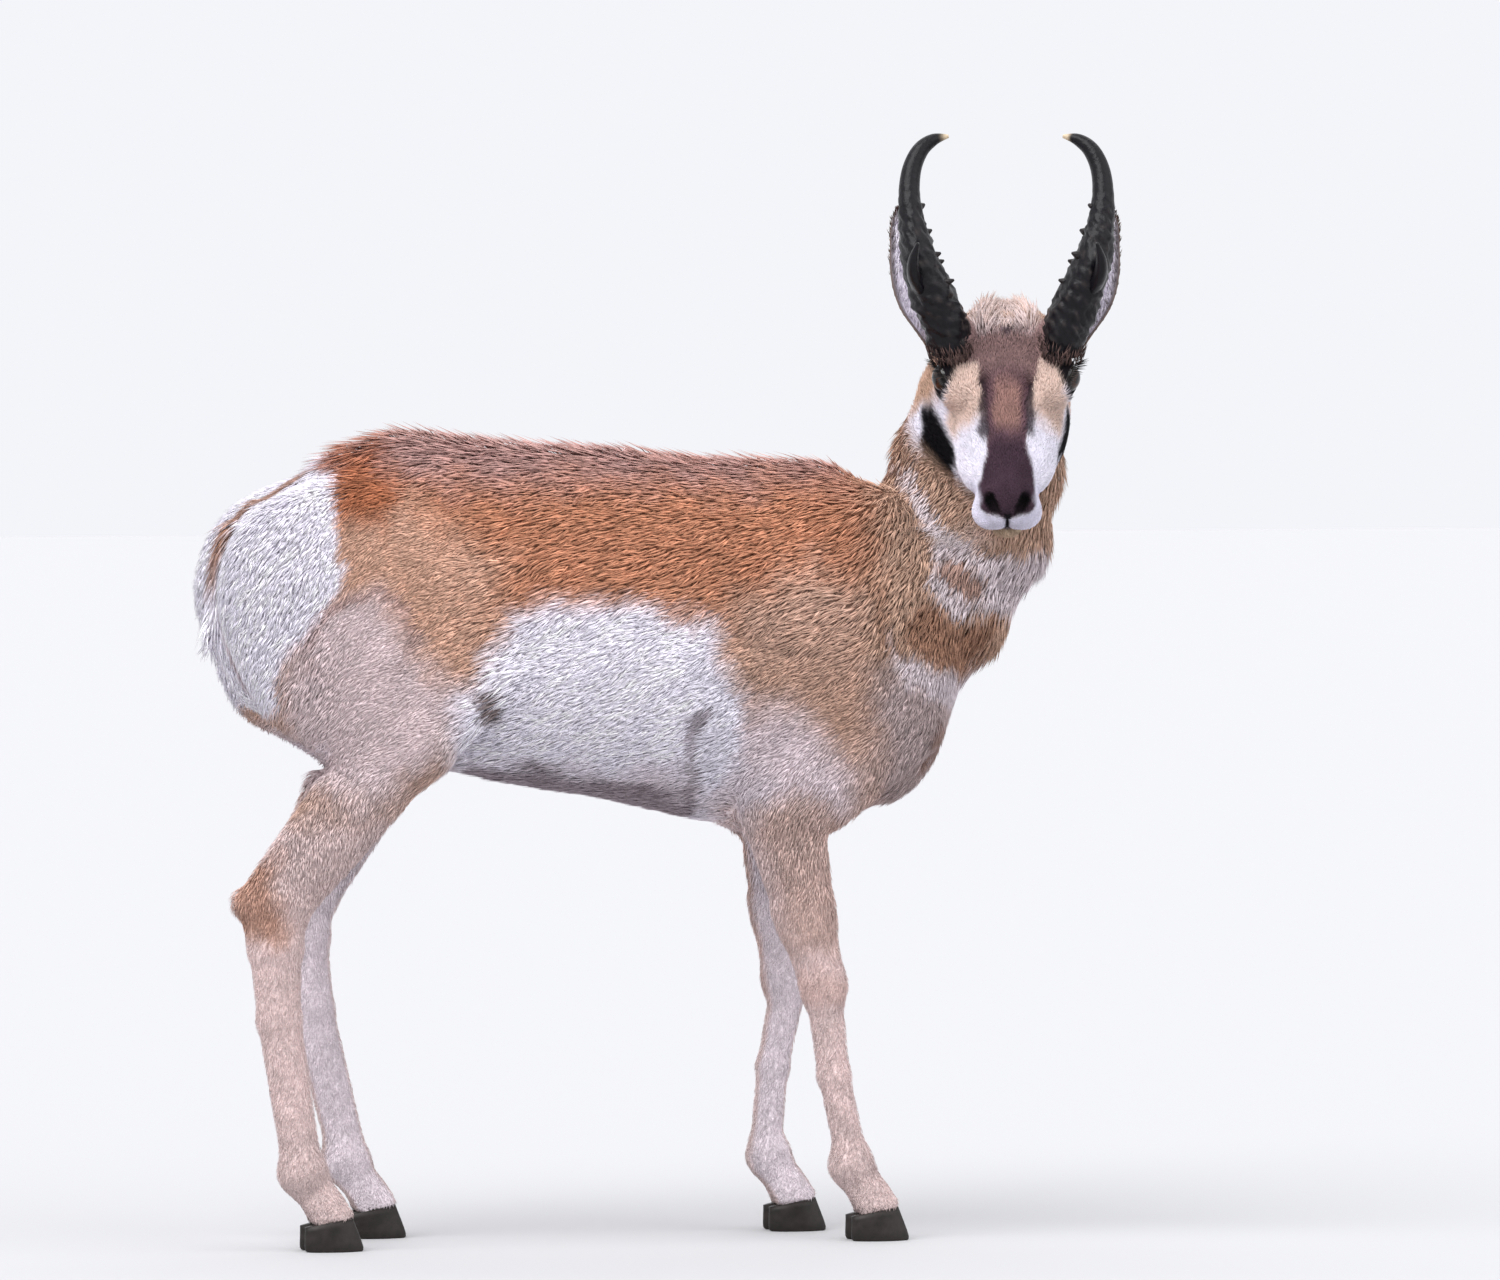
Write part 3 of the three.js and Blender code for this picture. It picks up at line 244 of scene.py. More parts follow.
def fore_forms(side):
    leg = FORE[side]
    elbow, knee, cannon, fetlock = (at_side(joint, side) for joint in leg[:4])
    shoulder = [
        (bone((205, side * 62, 812), (262, side * 84, 640), (80, 66), (46, 46)), 40),
        (ball(vec(178, side * 92, 640), (92, 46, 118)), 36),
        (bone((262, side * 82, 606), (160, side * 88, 520), (64, 60), (42, 40)), 34),
        (ball(vec(120, side * 92, 520), (54, 38, 62)), 30)]
    limb = [
        (bone(elbow + [4, 0, 10], mix(elbow, knee, 0.6), (50, 33), (37, 27)), 22),
        (bone(mix(elbow, knee, 0.5), knee, (36, 26), (29, 23)), 14),
        (ball(knee, (27, 25, 34)), 12),
        (bone(knee + [2, 0, -20], cannon, (22, 19.5), (20, 17.5)), 10),
        (bone(cannon, fetlock + [-2, 0, 20], (19.5, 19.5), (17.5, 17.5)), 10)]
    return shoulder, limb + foot(leg, side, 26, 23.5)


def neck_forms():
    forms = []
    for i, (low, high) in enumerate(zip(NECK, NECK[1:])):
        form = bone(low[:3], high[:3], (low[3], high[3]), (low[4], high[4]))
        forms.append((form, 30 if i else 60))
    forms.append((bone(NECK[-1][:3], on_head(-72, 0, -28), (78, 56), (62, 54)), 30))
    forms.append((ball(vec(262, 0, 590), (62, 70, 84)), 40))
    return forms


def head_forms():
    forms = [
        (head_ball(-42, 0, -8, (60, 58, 46)), 24),
        (head_ball(0, 0, 6, (50, 58, 34)), 24),
        (head_bone((12, 0, -10), (138, 0, -36), (40, 25), (50, 27)), 22),
        (head_bone((-4, 0, -60), (140, 0, -78), (36, 17), (50, 26)), 18),
        (head_ball(146, 0, -50, (30, 36, 29)), 14),
        (head_ball(145, 0, -86, (21, 19, 14)), 8)]
    for s in (RIGHT, LEFT):
        forms += [
            (head_ball(3, s * 54, 2, (36, 26, 28)), 14),
            (head_ball(18, s * 42, -56, (58, 29, 44)), 20),
            (head_ball(66, s * 34, -44, (62, 24, 32)), 20),
            (head_ball(146, s * 18, -64, (26, 23, 18)), 8),
            (head_ball(-28, s * 56, 34, (30, 23, 27)), 14),
            (head_ball(-60, s * 64, 6, (24, 18, 24)), 14)]
    return forms


def head_hollows():
    hollows = [(head_bone((176, 0, -52), (168, 0, -72), (5, 4), (1.8, 1.6)), 3)]
    for s in (RIGHT, LEFT):
        hollows += [
            (head_bone((178, s * 11, -44), (158, s * 21, -30), (5, 4.5), (5.5, 4.5)), 4),
            (head_bone((172, s * 2, -75), (150, s * 40, -76), (2.2, 2.2), (6, 6)), 3),
            (head_bone((150, s * 40, -76), (100, s * 44, -66), (2.2, 1.6), (6, 9)), 3),
            (head_bone((32, s * 27, 26), (86, s * 24, 11), (6, 5), (5, 4)), 12)]
    return hollows


def creases():
    furrows = []
    for s in (RIGHT, LEFT):
        furrows.append((bone((64, s * 158, 610), (68, s * 150, 500), (6, 6), (8, 8)), 24))
        furrows.append((bone((-196, s * 156, 628), (-214, s * 150, 596), (10, 8), (12, 8)), 16))
    return furrows


HEAD_REACH, HEAD_BLEND = 330, 34
TAIL = bone((-486, 0, 806), (-520, 0, 694), (17, 9), (29, 15))
hind_right, hind_left = hind_forms(RIGHT), hind_forms(LEFT)
fore_right, fore_left = fore_forms(RIGHT), fore_forms(LEFT)
BODY_FORMS = (
    hind_right[0] + hind_left[0] + fore_right[0] + fore_left[0] + neck_forms()
    + hind_right[1] + hind_left[1] + fore_right[1] + fore_left[1])
HEAD_FORMS = head_forms()
HOLLOWS = head_hollows()
FURROWS = creases()


def smooth_union(a, b, k):
    h = np.maximum(k - np.abs(a - b), 0) / k
    return np.minimum(a, b) - h * h * k / 4


def smooth_cut(a, b, k):
    return -smooth_union(-a, b, k)


def body_field(p):
    d = trunk(p)
    for form, k in BODY_FORMS:
        d = smooth_union(d, form(p), k)
    for form, k in FURROWS:
        d = smooth_cut(d, form(p), k)
    return smooth_union(d, TAIL(p), 4)


def head_field(p):
    d = np.full(len(p), 1e3)
    for form, k in HEAD_FORMS:
        d = smooth_union(d, form(p), k)
    for form, k in HOLLOWS:
        d = smooth_cut(d, form(p), k)
    for side in (RIGHT, LEFT):
        seat, axes = eye_frame(side)
        d = smooth_union(d, ball(seat, (23.5, 22, 22.5), HEAD_AXES)(p), 5)
        d = smooth_cut(d, ball(seat + axes[1] * 20, (19.5, 14, 14.5), axes)(p), 2)
    return d


def whole_field(p):
    d = body_field(p)
    near = np.linalg.norm(p - EYE_MIDDLE, axis=1) < HEAD_REACH
    if near.any():
        d[near] = smooth_union(d[near], head_field(p[near]), HEAD_BLEND)
    return d


# The planes that part head from neck, and neck from trunk
HEAD_POINT = vec(385, -97, 868)
NAPE_WAY, CHIN_WAY = unit(vec(0, -0.748, 0.663)), unit(vec(0, -1, -0.1))
THROAT_X, THROAT_Z, THROAT_RUN, HEAD_LOW = 306, 840, 90, 804
NECK_FOOT, NECK_WAY = vec(255, 0, 770), unit(vec(0.86, 0, 0.5))
OVERLAP = 6


def head_side(p):
    """Above zero on the head's side of the cut between the head and the neck."""
    q = p - HEAD_POINT
    throat = p[:, 0] - THROAT_X + 0.5 * np.clip(p[:, 2] - THROAT_Z, 0, THROAT_RUN)
    behind = np.maximum(q @ NAPE_WAY, q @ CHIN_WAY)
    return np.minimum(behind, np.minimum(throat, p[:, 2] - HEAD_LOW))


def past_shoulder(p):
    return (p - NECK_FOOT) @ NECK_WAY


def head_frame(p):
    q = (p - EYE_MIDDLE) @ HEAD_AXES.T
    return q[:, 0], q[:, 1], q[:, 2]


# Places on the animal as soft weights from 0 to 1
def places(p):
    x, y, z = p.T
    nose, across, brow = head_frame(p)
    head = step(-24, 12, head_side(p))
    neck = step(-30, 50, past_shoulder(p)) * (1 - head) * step(560, 640, z)
    belly_span = step(-245, -215, x) * (1 - step(50, 90, x))
    return dict(
        head=head, neck=neck, foot=step(110, 60, z), low_leg=step(470, 330, z),
        leg=np.where(belly_span > 0.5, step(446, 436, z), step(600, 440, z)),
        tail=((TAIL(p) < 6) * (x < -490)).astype(float),
        back=step(50, 15, np.abs(y)) * step(840, 880, z) * (1 - head) * (1 - neck),
        muzzle=head * step(96, 140, nose), face=head * step(-40, 0, nose),
        crown=head * step(-26, -40, nose) * step(40, 30, np.abs(across)) * step(18, 30, brow))


def coat_depth(p):
    """How far the skin lies under the tips of the coat."""
    w = places(p)
    return over(8.5, (10, w["neck"]), (5.5, w["leg"]), (2.6, w["low_leg"]), (3.4, w["head"]),
                (2.0, w["face"]), (5.0, w["tail"]))


def coronet(toe_x, x):
    return (CORONET_FRONT + CORONET_BACK) / 2 + (x - toe_x) * CORONET_SLOPE


def above_hooves(p):
    """Above zero under the coronet of the nearest foot."""
    x, y, z = p.T
    under = np.full(len(p), -1e3)
    for legs in (HIND, FORE):
        for side, leg in legs.items():
            toe_x = leg[4][0]
            near = (np.abs(x - toe_x) < 105) & (y * side > 0) & (z < 90)
            under = np.where(near, coronet(toe_x, x) - z, under)
    return under


def body_skin(p):
    d = whole_field(p) + coat_depth(p)
    return np.maximum(np.maximum(d, above_hooves(p)), head_side(p) - OVERLAP)


def head_skin(p):
    return np.maximum(whole_field(p) + coat_depth(p), -head_side(p) - OVERLAP)


def grid_values(field, low, counts, cell):
    """The field on a grid, exact near the surface and one value to a block far from it."""
    blocks = [math.ceil(n / BLOCK) for n in counts]
    values = np.full([b * BLOCK for b in blocks], 1.0, dtype=np.float32)
    corners = np.stack(np.meshgrid(*[np.arange(b) * BLOCK for b in blocks], indexing="ij"), -1)
    inner = np.stack(np.meshgrid(*[np.arange(BLOCK)] * 3, indexing="ij"), -1)
    cells = corners.reshape(-1, 1, 3) + inner.reshape(-1, 3)
    middle = field(low + (cells[:, 0] + BLOCK / 2) * cell)
    found = np.repeat(middle[:, None], BLOCK ** 3, axis=1)
    near = np.abs(middle) <= BLOCK * cell * NEAR_BLOCKS
    parts = np.array_split(cells[near].reshape(-1, 3), PARTS)
    exact = np.concatenate([field(low + part * cell) for part in parts])
    found[near] = exact.reshape(-1, BLOCK ** 3)
    i, j, k = cells.reshape(-1, 3).T
    values[i, j, k] = found.ravel()
    values = values[:counts[0], :counts[1], :counts[2]]
    values[values == 0] = 1e-6
    values[[0, -1]] = values[:, [0, -1]] = values[:, :, [0, -1]] = 1.0
    return values


def surface(field, low, high, cell):
    """Points and four-sided faces of the surface where the field is zero."""
    low = np.asarray(low, float)
    counts = [math.ceil((h - a) / cell) + 1 for a, h in zip(low, high)]
    values = grid_values(field, low, counts, cell)
    inside = values < 0
    bits = list(np.ndindex(2, 2, 2))
    n = [c - 1 for c in counts]
    total = np.zeros(n, dtype=np.int8)
    for i, j, k in bits:
        total += inside[i:n[0] + i, j:n[1] + j, k:n[2] + k]
    cells = np.argwhere((total > 0) & (total < len(bits)))
    corner = {b: values[tuple((cells + b).T)] for b in bits}
    summed, hits = np.zeros((len(cells), 3)), np.zeros(len(cells))
    for a in bits:
        for axis in range(3):
            if a[axis]:
                continue
            b = tuple(1 if k == axis else a[k] for k in range(3))
            va, vb = corner[a], corner[b]
            crosses = (va < 0) != (vb < 0)
            at = np.tile(np.array(a, float), (len(cells), 1))
            at[:, axis] = np.where(crosses, va / np.where(crosses, va - vb, 1), 0)
            summed += at * crosses[:, None]
            hits += crosses
    points = low + (cells + summed / hits[:, None]) * cell
    number = np.full(n, -1, dtype=np.int64)
    number[tuple(cells.T)] = np.arange(len(cells))
    faces = []
    for axis in range(3):
        b, c = (axis + 1) % 3, (axis + 2) % 3
        whole = [slice(None)] * 3
        first, second = whole.copy(), whole.copy()
        first[axis], second[axis] = slice(0, -1), slice(1, None)
        here, there = inside[tuple(first)], inside[tuple(second)]
        edges = np.argwhere(here != there)
        across = edges[:, [b, c]]
        edges = edges[(across > 0).all(axis=1) & (across < [n[b], n[c]]).all(axis=1)]
        around = []
        for shift in ((-1, -1), (0, -1), (0, 0), (-1, 0)):
            beside = edges.copy()
            beside[:, [b, c]] += shift
            around.append(number[tuple(beside.T)])
        quads = np.stack(around, 1)
        inward = ~here[tuple(edges.T)]
        quads[inward] = quads[inward][:, ::-1]
        faces.append(quads)
    return points, np.concatenate(faces)


def triangles(quads):
    return np.concatenate([quads[:, [0, 1, 2]], quads[:, [0, 2, 3]]])


def point_normals(points, tris):
    a, b, c = (points[tris[:, k]] for k in range(3))
    crossed = np.cross(b - a, c - a)
    normals = np.zeros_like(points)
    for k, axis in np.ndindex(3, 3):
        normals[:, axis] += np.bincount(tris[:, k], crossed[:, axis], len(points))
    return unit(normals)


# Colours
def rgb(*values):
    c = np.array(values, dtype=float) / 255
    return np.where(c <= 0.04045, c / 12.92, ((c + 0.055) / 1.055) ** 2.4)


WHITE = rgb(247, 242, 243)
THROAT = rgb(226, 214, 210)
TAN = rgb(206, 172, 144)
RUST = rgb(176, 108, 70)
RUFOUS = rgb(196, 138, 104)
SADDLE = rgb(188, 152, 142)
SHOULDER = rgb(200, 164, 140)
HAUNCH = rgb(214, 172, 144)
GREY_TAN = rgb(228, 212, 208)
LEG = rgb(230, 207, 196)
INNER_LEG = rgb(236, 224, 220)
HOCK = rgb(200, 156, 130)
NECK_TAN = rgb(196, 162, 136)
BAND = rgb(158, 116, 90)
CHEST = rgb(196, 176, 168)
# A greyer white than WHITE: the belly's own white hair with painted shade, for down-facing skin and
# the trunk's lower edge
SHADED_BELLY_WHITE = rgb(226, 214, 212)
FOREHEAD = rgb(140, 112, 106)
BRIDGE = rgb(112, 84, 88)
MUZZLE = rgb(72, 54, 62)
CREAM = rgb(226, 200, 180)
CHEEK = rgb(238, 234, 236)
JAW = rgb(9, 7, 10)
CROWN = rgb(226, 210, 202)
LIP = rgb(224, 220, 226)
CHIN = rgb(186, 164, 134)
BLACK = rgb(26, 22, 24)
EAR_BACK = rgb(196, 166, 136)
EAR_EDGE = rgb(66, 50, 44)
EAR_HAIR = rgb(232, 226, 228)
HORN_DARK = rgb(15, 13, 18)
HORN_GREY = rgb(66, 58, 56)
HORN_TIP = rgb(206, 186, 158)
HOOF_DARK = rgb(38, 33, 31)
TINT = vec(1.0, 1.0, 1.1)
# Grey-brown of painted shade: the shadow under the belly and the crease at the elbow
SHADE_GREY = rgb(128, 112, 114)
BRIDGE_TAN = rgb(180, 140, 122)

WAVE_RNG = np.random.default_rng(3)
WAVES = [(unit(WAVE_RNG.normal(size=3)), WAVE_RNG.uniform(0.6, 1.7), WAVE_RNG.uniform(0, 6.28))
         for _ in range(24)]


def ripple(p, size, first=0):
    """Soft repeatable noise of about -1 to 1, with features of the given size."""
    total = np.zeros(len(p))
    for way, pace, start in WAVES[first:first + 6]:
        total += np.sin((p @ way) * (6.28 * pace / size) + start)
    return total / 3.2


def shape(u, v, corners, soft):
    """Weight of a soft-edged patch in the side view."""
    pts = np.array(corners, float)
    best = np.full(len(u), 1e9)
    odd = np.zeros(len(u), bool)
    for (ax, ay), (bx, by) in zip(pts, np.roll(pts, -1, axis=0)):
        ex, ey = bx - ax, by - ay
        t = np.clip(((u - ax) * ex + (v - ay) * ey) / (ex * ex + ey * ey), 0, 1)
        best = np.minimum(best, (u - ax - t * ex) ** 2 + (v - ay - t * ey) ** 2)
        spans = (ay > v) != (by > v)
        odd ^= spans & (u < ax + (v - ay) * ex / (ey if ey else 1e-9))
    gap = np.sqrt(best) * np.where(odd, -1, 1)
    return step(soft, -soft, gap)


# Side-view places run rightwards and downwards from the upper left, 1.14 mm to the unit,
# with both flanks folded onto the right one.
UNIT = 1.14
SIDE_X, SIDE_Y = 661, 1238
SIDE_COS, SIDE_SIN, SIDE_RISE = 0.974, 0.225, 0.035


def side_view(p, out):
    """The place in the side view of points, moved sideways to be that far out on the right."""
    x, _, z = p.T
    u = SIDE_X + (SIDE_COS * x + SIDE_SIN * out) / UNIT
    v = SIDE_Y - (z + (SIDE_SIN * x - SIDE_COS * out) * SIDE_RISE) / UNIT
    return u, v


def body_colour(p, normals):
    x, y, z = p.T
    out = np.abs(y)
    u, v = side_view(p, out)
    u = u + 7 * ripple(p, 70) + 3 * ripple(p, 22, 6)
    v = v + 7 * ripple(p, 80, 12) + 3 * ripple(p, 20, 18)

    def patch(corners, soft):
        return shape(u, v, corners, soft)
    arc = np.abs(np.hypot((u - 372) / 52, (v - 640) / 44) - 1) * 48
    leg = step(780, 830, v)
    fore = u > 700
    inner = step(0.15, 0.75, -normals[:, 1] * np.sign(y)) * step(50, 75, out + 40 * leg)
    # Down-facing skin of the lower trunk, for the belly's white with painted shade
    belly = step(0.35, 0.8, -normals[:, 2]) * step(770, 740, v) * (u > 330) * (u < 860)
    hem = step(748, 790, v) * step(440, 480, u) * step(800, 760, u) * (1 - leg * fore)
    streak = step(16, 7, out) * step(-380, -410, x) * step(770, 800, z)
    tail = step(30, 18, out) * (x < -492) * step(12, 0, TAIL(p)) * step(735, 775, z)
    # Painted shadow in the crease between the tail and each buttock
    cleft_shadow = step(10, 3, np.abs(out - 34)) * step(-455, -470, x) * band(z, 600, 760, 30)
    trunk_coats = [
        (SADDLE, step(515, 455, v) * step(930, 800, u) * 0.9),
        (TAN, step(560, 700, v) * 0.75),
        (SHOULDER, patch([(740, 600), (830, 560), (905, 600), (900, 700), (840, 760),
                          (740, 730)], 28)),
        (HAUNCH, patch([(330, 520), (420, 500), (520, 560), (505, 680), (440, 700),
                        (320, 700)], 30)),
        (GREY_TAN, patch([(300, 600), (380, 590), (425, 640), (480, 700), (455, 750),
                          (380, 810), (290, 770)], 24) * 0.85),
        (SADDLE * 0.8, step(9, 3, arc) * step(700, 610, v) * 0.5),
        (NECK_TAN, step(845, 905, u) * step(720, 640, v)),
        (CHEST, step(850, 900, u) * step(640, 690, v)),
        (GREY_TAN, patch([(720, 700), (790, 700), (860, 760), (850, 820), (740, 800)], 30))]
    leg_coats = [
        (LEG, leg),
        (HOCK, patch([(240, 850), (290, 850), (300, 930), (240, 930)], 14) * (u < 560) * 0.9),
        (HOCK, step(24, 8, np.abs(v - 985)) * fore * (v > 900) * 0.25),
        (SHOULDER, patch([(755, 800), (860, 800), (850, 950), (790, 950)], 20) * fore * 0.5),
        (LEG * 0.82, step(1105, 1150, v) * 0.6),
        (INNER_LEG, inner * leg)]
    white_coats = [
        # The belly's white with painted shade on down-facing skin
        (SHADED_BELLY_WHITE, belly),
        (WHITE, patch([(470, 700), (505, 655), (530, 612), (560, 598), (640, 600), (725, 622),
                       (735, 680), (735, 760), (720, 830), (470, 830), (455, 760)], 19)),
        # Painted shade: the greyer white along the lower edge of the trunk
        (SHADED_BELLY_WHITE, hem),
        (WHITE * 0.9, patch([(700, 655), (752, 690), (745, 770), (715, 790), (700, 740)], 14)),
        (RUST, patch([(352, 448), (395, 440), (412, 500), (392, 530), (350, 505)], 18) * 0.85),
        (WHITE, patch([(160, 440), (330, 444), (347, 470), (347, 570), (332, 606), (300, 640),
                       (285, 700), (255, 730), (160, 730)], 7))]
    # Dark lines: the streak down the rump and the tail's top are the coat's own; the rest is
    # painted shade in creases and folds and under the belly
    dark_lines_and_shade = [
        (BAND, streak * 0.9),
        (BAND, tail * 0.8),
        # Painted shadow in the creases beside the tail
        (SADDLE * 0.8, cleft_shadow * 0.6),
        # Painted shade: a small dark spot in a fold of the flank
        (BAND * 0.3, patch([(488, 690), (508, 684), (512, 712), (492, 714)], 6) * 0.85),
        # Painted shadow along the underside of the belly
        (SHADE_GREY, patch([(455, 770), (520, 762), (620, 774), (700, 795), (700, 830),
                           (450, 820)], 8) * 0.7),
        # Painted shade in the crease of the fold at the elbow
        (SHADE_GREY, patch([(693, 706), (706, 712), (703, 760), (707, 806), (697, 806),
                           (694, 760)], 5) * 0.7),
        # Painted shade along the crease between the neck and the shoulder
        (BAND, patch([(856, 460), (864, 520), (870, 570), (882, 622), (906, 670), (914, 664),
                      (892, 614), (881, 566), (874, 515), (869, 460)], 5) * 0.5),
        # Painted shadow in the crease between the shoulder and the brisket
        (BAND * 0.7, patch([(944, 714), (950, 724), (934, 765), (924, 778), (930, 750)],
                           4) * 0.7)]
    c = np.tile(RUFOUS, (len(p), 1))
    return neck_colour(p, over(c, *trunk_coats, *leg_coats, *white_coats, *dark_lines_and_shade))


# Throat bands in the side view, each on its own side of the middle of the neck
WHITE_BANDS = [
    ([(900, 455), (918, 468), (936, 505), (965, 538), (1000, 548), (1075, 535), (1075, 600),
      (1030, 612), (985, 600), (955, 612), (928, 578), (936, 548), (915, 500)], 6),
    ([(886, 626), (900, 645), (930, 664), (960, 668), (990, 650), (1010, 660), (985, 700),
      (950, 700), (905, 678)], 7)]
DARK_BANDS = [
    ([(934, 556), (962, 552), (992, 572), (984, 592), (950, 582)], 5),
    ([(905, 612), (930, 592), (958, 618), (1000, 604), (985, 650), (955, 668), (915, 645)], 7)]


def neck_colour(p, c):
    x, y, z = p.T
    middle = -32 * step(700, 960, z)
    u, v = side_view(p, np.abs(y - middle) - middle)
    u = u + 4 * ripple(p, 34, 6) + 2 * ripple(p, 12)
    v = v + 4 * ripple(p, 30, 14)
    front = step(215, 262, x)
    whites = [(THROAT, shape(u, v, *row) * front * 0.92) for row in WHITE_BANDS]
    darks = [(BAND, shape(u, v, *row) * front * 0.8) for row in DARK_BANDS]
    nape = step(305, 275, x) * step(900, 930, z)
    return over(c, *whites, *darks, (BAND, nape * 0.35))


def band(value, low, high, soft):
    return step(low - soft, low + soft, value) * step(high + soft, high - soft, value)


def head_colour(p):
    nose, across, brow = head_frame(p)
    a = np.abs(across) + 2.5 * ripple(p, 24, 6)
    nose = nose + 4 * ripple(p, 30)
    upper = step(-50, -30, nose)
    brow_line = 40 - 14 * step(-10, 50, nose)
    # Painted shadow in the pair of grooves beside the ridges of the nose
    nasal_shadow = band(nose, 24, 90, 8) * band(a, 20, 30, 2.5)
    wide = 21 + 12 * step(95, 150, nose)
    nostril_shade, eyes = [], []
    for side, q in zip((RIGHT, LEFT), around_eyes(p)):
        inner, outer = on_head(180, side * 11, -43), on_head(160, side * 21, -30)
        slit = outer - inner
        share = np.clip((p - inner) @ slit / np.sum(slit ** 2), 0, 1)
        gap = np.linalg.norm(p - inner - share[:, None] * slit, axis=1)
        # Near-black painted shade in the nostril openings
        nostril_shade.append((BLACK * 0.15, step(10.5, 7.5, gap)))
        gap = np.sqrt((q[:, 0] / 1.15) ** 2 + q[:, 1] ** 2 + q[:, 2] ** 2)
        eyes.append((BLACK, step(27.5, 23.5, gap) * step(-4, 6, q[:, 1])))
    jaw = band(nose, 2, 92, 8) * band(a, 55, 92, 3) * band(brow, -90, -38, 6)
    crown = step(-20, -46, nose) * step(46, 34, a) * step(10, 26, brow)
    lips = np.abs(brow + 73 - 0.1 * (150 - np.clip(nose, 90, 150)))
    philtrum_shade = step(4.5, 2, np.abs(across)) * step(150, 160, nose) * band(brow, -72, -40, 2)
    return over(
        np.tile(NECK_TAN, (len(p), 1)),
        (CHEEK, step(-10, 24, nose) * step(16, 24, a)),
        (CHEEK, step(-20, 10, nose) * step(-36, -56, brow)),
        (CREAM, band(nose, -30, 66, 14) * band(a, 20, 66, 6) * step(-42, -26, brow)),
        (FOREHEAD, upper * step(14, 2, nose) * step(62, 54, a) * step(-6, 8, brow)),
        (FOREHEAD, upper * step(3, -3, a - brow_line) * step(60, 30, nose)),
        (BRIDGE, step(10, 40, nose) * step(25, 20, a) * step(-44, -34, brow)),
        (BRIDGE_TAN, band(nose, 34, 84, 12) * step(17, 9, a) * 0.65),
        (MUZZLE * 0.6, nasal_shadow * 0.9),
        (MUZZLE, step(80, 110, nose) * step(3, -3, a - wide) * step(-50, -43, brow)),
        (LIP, step(120, 134, nose) * step(26, 32, a) * step(-30, -40, brow)),
        (LIP, step(118, 134, nose) * band(brow, -74, -47, 3)),
        (CHIN, step(104, 124, nose) * step(-72, -77, brow)),
        (MUZZLE * 0.85, step(158, 168, nose) * step(-48, -43, brow) * step(31, 25, a)),
        *nostril_shade,
        (JAW, jaw),
        (CROWN, crown * (0.6 + 0.3 * ripple(p, 9, 8))),
        (MUZZLE, step(9, 5, np.hypot(across, nose + 34)) * 0.8),
        *eyes,
        # Painted shade along the crease between the lips
        (MUZZLE, step(4.5, 2, lips) * step(112, 124, nose) * 0.8),
        # Painted shade in the groove of the philtrum
        (BLACK, philtrum_shade))


def coat_colour(p, normals):
    weight = step(-14, 8, head_side(p))
    c = body_colour(p, normals)
    on = weight > 0
    if on.any():
        c[on] = blend(c[on], head_colour(p[on]), weight[on])
    return c * TINT * (1 + 0.05 * ripple(p, 45, 12) + 0.04 * ripple(p, 12, 2))[:, None]


# Meshes
def material(name, roughness, bump_size=120.0, bump_depth=0.0, coat=0.0, specular=0.5,
             variation=0.12):
    """A surface with its colours in Col, a little noise in them, and bump from that noise."""
    made = bpy.data.materials.new(name)
    made.use_nodes = True
    nodes, link = made.node_tree.nodes, made.node_tree.links.new

    def put(node, values):
        for label, value in values.items():
            node.inputs[label].default_value = value
        return node
    shader = put(nodes["Principled BSDF"], {
        "Roughness": roughness, "Specular IOR Level": specular, "Coat Weight": coat,
        "Coat Roughness": 0.05})
    colour = nodes.new("ShaderNodeAttribute")
    colour.attribute_name = "Col"
    place = nodes.new("ShaderNodeTexCoord")
    noise = put(nodes.new("ShaderNodeTexNoise"), {"Scale": bump_size, "Detail": 4.0})
    link(place.outputs["Object"], noise.inputs["Vector"])
    spread = put(nodes.new("ShaderNodeMapRange"), {
        "From Min": 0.3, "From Max": 0.7, "To Min": 1 - variation, "To Max": 1 + variation})
    link(noise.outputs["Fac"], spread.inputs["Value"])
    shaded = nodes.new("ShaderNodeVectorMath")
    shaded.operation = "SCALE"
    link(colour.outputs["Color"], shaded.inputs[0])
    link(spread.outputs["Result"], shaded.inputs["Scale"])
    link(shaded.outputs["Vector"], shader.inputs["Base Color"])
    if bump_depth:
        bump = put(nodes.new("ShaderNodeBump"), {"Strength": 0.7, "Distance": bump_depth})
        link(noise.outputs["Fac"], bump.inputs["Height"])
        link(bump.outputs["Normal"], shader.inputs["Normal"])
    return made


def build(name, points, faces, colours, finish, uv=None):
    """An object from millimetre points and faces of equal size, with a colour at each point."""
    faces = np.asarray(faces)
    size = faces.shape[1]
    mesh = bpy.data.meshes.new(name)
    mesh.vertices.add(len(points))
    mesh.vertices.foreach_set("co", ((points + SHIFT) * MM).astype(np.float32).ravel())
    mesh.loops.add(faces.size)
    mesh.loops.foreach_set("vertex_index", faces.ravel().astype(np.int32))
    mesh.polygons.add(len(faces))
    mesh.polygons.foreach_set("loop_start", np.arange(0, faces.size, size, dtype=np.int32))
    mesh.update(calc_edges=True)
    mesh.polygons.foreach_set("use_smooth", np.ones(len(faces), dtype=bool))
    layer = mesh.color_attributes.new(name="Col", type="FLOAT_COLOR", domain="POINT")
    rgba = np.ones((len(points), 4), dtype=np.float32)
    rgba[:, :3] = np.clip(colours, 0, 1)
    layer.data.foreach_set("color", rgba.ravel())
    if uv is not None:
        chart = mesh.uv_layers.new(name="OFBake")
        chart.data.foreach_set("uv", uv[faces.ravel()].astype(np.float32).ravel())
    mesh.materials.append(finish)
    piece = bpy.data.objects.new(name, mesh)
    bpy.context.scene.collection.objects.link(piece)
    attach(piece, "root")
    return piece


